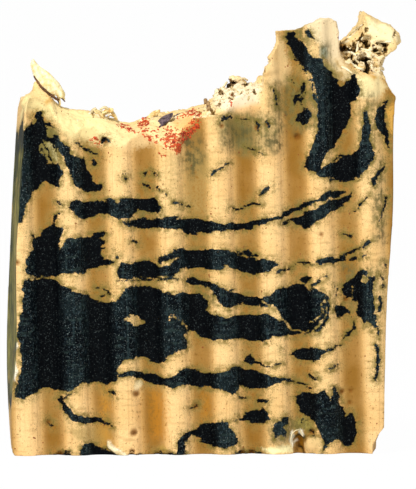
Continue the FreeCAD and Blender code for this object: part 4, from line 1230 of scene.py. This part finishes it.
def strand_middles(surface, line):
    """Points in millimetres where a line of the photograph lies on a surface, evened out."""
    spots = []
    for a, b in zip(line[:-1], line[1:]):
        spots += [between(a, b, k / STRAND_STEPS) for k in range(STRAND_STEPS)]
    spots.append(line[-1])
    depth = STRAND_DEPTH
    places = []
    for px, py in spots:
        start = Vector(at_pixel(px, py, STRAND_START))
        hit = surface.ray_cast(start * MM, VIEW_AHEAD, STRAND_SEARCH * MM)[0]
        depth = depth if hit is None else hit.y / MM - FRONT
        places.append(Vector(at_pixel(px, py, depth)))
    groups = [places[max(0, i - 1):i + 2] for i in range(len(places))]
    return [sum(group, Vector()) / len(group) for group in groups]


def strand(name, surface, thick, line, finish):
    """A ragged strand that lies on a surface along a line of the photograph."""
    middles = strand_middles(surface, line)
    count = len(middles)
    front = Vector((0, -1, 0))
    corners = []
    for i, middle in enumerate(middles):
        along = (middles[min(i + 1, count - 1)] - middles[max(i - 1, 0)]).normalized()
        out = (front - along * along.dot(front)).normalized()
        side = along.cross(out)
        swell = math.sin(math.pi * (i + 0.6) / (count + 0.2)) ** 0.6
        radius = thick / PX_PER_MM / 2 * (STRAND_THIN + (1 - STRAND_THIN) * swell)
        for k in range(STRAND_SIDES):
            angle = 2 * math.pi * k / STRAND_SIDES
            spot = middle + (side * math.cos(angle) + out * math.sin(angle)) * radius
            spot += noise.noise_vector(spot * STRAND_WAVES) * radius * STRAND_RAGGED
            spot.z = max(spot.z, 0.0)
            corners.append(tuple(spot * MM))
    ring = list(range(STRAND_SIDES))
    turned = ring[1:] + ring[:1]
    faces = [(low + a, low + b, low + STRAND_SIDES + b, low + STRAND_SIDES + a)
             for low in range(0, len(corners) - STRAND_SIDES, STRAND_SIDES) for a, b in zip(ring, turned)]
    faces += [ring[::-1], [len(corners) - STRAND_SIDES + k for k in ring]]
    mesh = bpy.data.meshes.new(name)
    mesh.from_pydata(corners, [], faces)
    finish_shell(mesh)
    mesh.materials.append(finish)
    return add_object(name, mesh)


def husk_blade(finish):
    """The stiff husk on the left corner: a cupped, ragged blade with torn stubs at its lower end."""
    rows = []
    for i, (a, b) in enumerate(zip(HUSK_LEFT, HUSK_RIGHT)):
        row = []
        for j in range(HUSK_ACROSS + 1):
            t = j / HUSK_ACROSS
            px, py = between(a, b, t)
            px += 0.9 * math.sin(6 * t + 4.1 * i) * min(1, i / 3)
            py += 0.9 * math.sin(5 * t + 2.3 * i)
            cup = 0.75 * math.sin(math.pi * t) * min(1, i / 2)
            wrinkle = 0.35 * math.sin(9 * t + i * 0.9)
            row.append(at_pixel(px, py, HUSK_DEPTH - cup + wrinkle))
        rows.append(row)
    pieces = [sheet_mesh("husk_blade", rows, HUSK_THICKNESS, finish)]
    for i, (top, foot, width) in enumerate(STUBS):
        rows = []
        for k in range(STUB_STEPS + 1):
            t = k / STUB_STEPS
            px, py = between(top, foot, t)
            px += 0.8 * math.sin(4 * t + i)
            half = width * PX_PER_MM / 2 * (1 - 0.5 * t)
            rows.append([at_pixel(px - half, py, 5.2 + 0.2 * t), at_pixel(px + half, py, 4.7 + 0.2 * t)])
        pieces.append(sheet_mesh("husk_stub", rows, STUB_THICKNESS, finish))
    return join("husk_blade", pieces, finish)


def petal(start, end, width, depth, steep, finish):
    """A dried petal between two spots of the photograph: curled, wrinkled and drawn to a point."""
    rows = []
    for i in range(PETAL_ALONG + 1):
        t = i / PETAL_ALONG
        half = width / 2 * math.sin(math.pi * (0.05 + 0.9 * t)) ** 0.8
        x, y, z = at_pixel(*between(start, end, t), depth)
        row = []
        for j in range(PETAL_ACROSS + 1):
            u = (j / PETAL_ACROSS) * 2 - 1
            curl = 0.35 * abs(u) ** 1.5 + 0.16 * math.sin(9 * t + 4 * u)
            row.append((x, y + u * half * 0.8, z + u * half * steep + curl * width * 0.35))
        rows.append(row)
    return sheet_mesh("petal", rows, PETAL_THICKNESS, finish)


# The studio

def camera():
    """The camera of the photograph: level with the bar, a little to its left, far off."""
    middle_x = (PHOTO_WIDTH / 2 - PX_MIDDLE) / PX_PER_MM * MM
    middle_z = (PX_BASE - PHOTO_HEIGHT / 2) / PX_PER_MM * MM
    data = bpy.data.cameras.new("photo_view")
    eye = add_object("photo_view", data)
    eye.location = Vector((middle_x, FACE * MM, middle_z)) - VIEW_AHEAD * VIEW_DISTANCE
    eye.rotation_euler = VIEW_AHEAD.to_track_quat("-Z", "Y").to_euler()
    data.sensor_fit = "AUTO"
    data.sensor_width = 36.0
    data.lens = data.sensor_width * VIEW_DISTANCE / (PHOTO_HEIGHT / PX_PER_MM * MM)
    data.clip_start = 0.01
    data.clip_end = 10.0
    bpy.context.scene.camera = eye


def lamp(name, place, size, power, aim=(0, 0, 0.04)):
    """A round lamp that points at the bar. Its places are in metres."""
    data = bpy.data.lights.new(name, "AREA")
    data.shape = "DISK"
    data.size = size
    data.energy = power
    light = add_object(name, data)
    light.location = place
    light.rotation_euler = (Vector(aim) - Vector(place)).to_track_quat("-Z", "Y").to_euler()


def pale_floor():
    """Matt paper under the bar, which the camera sees as white as its surround."""
    mesh = bpy.data.meshes.new("floor")
    sheet = bmesh.new()
    bmesh.ops.create_grid(sheet, x_segments=2, y_segments=2, size=6.0)
    sheet.to_mesh(mesh)
    sheet.free()
    material, tree, shader = new_material("pale_paper_floor", 0.9)
    shader.inputs["Base Color"].default_value = linear("#F4F4F2")
    shader.inputs["Specular IOR Level"].default_value = 0.0
    ray = add_node(tree, "ShaderNodeLightPath")
    glow = add_node(tree, "ShaderNodeEmission", {}, Color=(1, 1, 1, 1), Strength=1.0)
    share = add_node(tree, "ShaderNodeMath", {"operation": "MULTIPLY"}, i0=ray.outputs["Is Camera Ray"],
                     i1=0.985)
    both = add_node(tree, "ShaderNodeMixShader", {}, i0=share.outputs["Value"], i1=shader.outputs["BSDF"],
                    i2=glow.outputs["Emission"])
    tree.links.new(both.outputs["Shader"], tree.nodes["Material Output"].inputs["Surface"])
    mesh.materials.append(material)
    return add_object("floor", mesh)


def studio():
    """A pale floor, a white surround, a soft key from the upper left and a weak fill."""
    floor = pale_floor()
    world = bpy.data.worlds.new("studio")
    world.use_nodes = True
    bpy.context.scene.world = world
    tree = world.node_tree
    air = tree.nodes["Background"]
    air.inputs["Color"].default_value = (1, 1, 1, 1)
    air.inputs["Strength"].default_value = 0.45
    seen = add_node(tree, "ShaderNodeBackground", {}, Color=(1, 1, 1, 1), Strength=1.0)
    ray = add_node(tree, "ShaderNodeLightPath")
    both = add_node(tree, "ShaderNodeMixShader", {}, i0=ray.outputs["Is Camera Ray"],
                    i1=air.outputs["Background"], i2=seen.outputs["Background"])
    tree.links.new(both.outputs["Shader"], tree.nodes["World Output"].inputs["Surface"])
    lamp("key", (-0.30, -0.52, 0.62), 0.2, 7.0)
    lamp("fill", (0.5, -0.7, 0.25), 0.5, 1.2)
    bpy.context.scene.view_settings.view_transform = "Standard"


# The scene

studio()
camera()
skin = bar_skin()
skin.data.materials.append(soap_material())
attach(skin, "root")
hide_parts("soap_bar")

husk = plain_material("dried_husk", "#F5EBBE", "#D9C07C", 1.2, 0.8, 0.15)
pale = plain_material("dried_pale_petal", "#EDDC9C", "#B98A3E", 1.5, 0.8, 0.2)
purple = plain_material("dried_purple_petal", "#6C5A5E", "#26141C", 1.9, 0.8, 0.25)
brown = plain_material("dried_stem", "#A88656", "#5E3E1E", 1.5, 0.85, 0.2)
red = plain_material("crushed_red_clay", "#CE4A1C", "#80200C", 0.9, 0.9, 0.1)
crumb = plain_material("crumbled_soap", "#F6E8C2", "#BCA672", 0.35, 0.7, 0.1)
brown_bits = plain_material("dried_leaf_and_shadow", "#7A4E2A", "#32240E", 0.8, 0.85, 0.1)

points = mesh_vectors(skin.data, "co") / MM
torn = mesh_values(skin.data, "torn")
crumbled = mesh_values(skin.data, "crumbled")
cavity = mesh_values(skin.data, "cavity")
tree = scatter_tree()

facing = mesh_vectors(skin.data, "normal")[:, 1] < 0.5
grainy = clay_share(points) * facing * (points[:, 2] > GRAIN_FOOT)
grains = strew("red_grains", tree, skin, grainy, red)
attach(grains, "root")
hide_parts("clay_grains")

on_lump = (points[:, 0] > LUMP_LEFT) & (points[:, 1] < FRONT + SEEN_DEPTH)
crumbly = (0.1 + 0.7 * crumbled) * torn * (1 - cavity) * np.where(on_lump, LUMP_CRUMBS, 1.0)
strewn = strew("strewn_crumbs", tree, skin, crumbly, crumb)
surface = BVHTree.FromObject(skin, bpy.context.evaluated_depsgraph_get())
strands = [strand("strand", surface, thick, line, crumb) for thick, line in STRANDS]
crumbs = join("soap_crumbs", [strewn] + strands, crumb)
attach(crumbs, "root")

blade = husk_blade(husk)
strewn = strew("strewn_bits", tree, skin, np.clip(crumbled - 0.2, 0, 1) * torn, brown_bits)
over_husk = BVHTree.FromObject(blade, bpy.context.evaluated_depsgraph_get())
# The first of these threads is painted shadow under the husk, partly dried bits
threads = [strand("thread", over_husk, thick, line, brown_bits) for thick, line in DARK_THREADS]
dust = join("brown_bits", [strewn] + threads, brown_bits)
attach(dust, "root")
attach(blade, "root")
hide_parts("corner_flake")

purple_set = join("purple_petals_curled", [petal(*place, purple) for place in PURPLE_PETALS], purple)
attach(purple_set, "root")
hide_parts("purple_petals")

pale_set = join("pale_petals_curled", [petal(*place, pale) for place in PALE_PETALS], pale)
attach(pale_set, "root")
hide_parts("pale_petals")

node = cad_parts["dried_stems"]
node.data.materials.clear()
node.data.materials.append(brown)
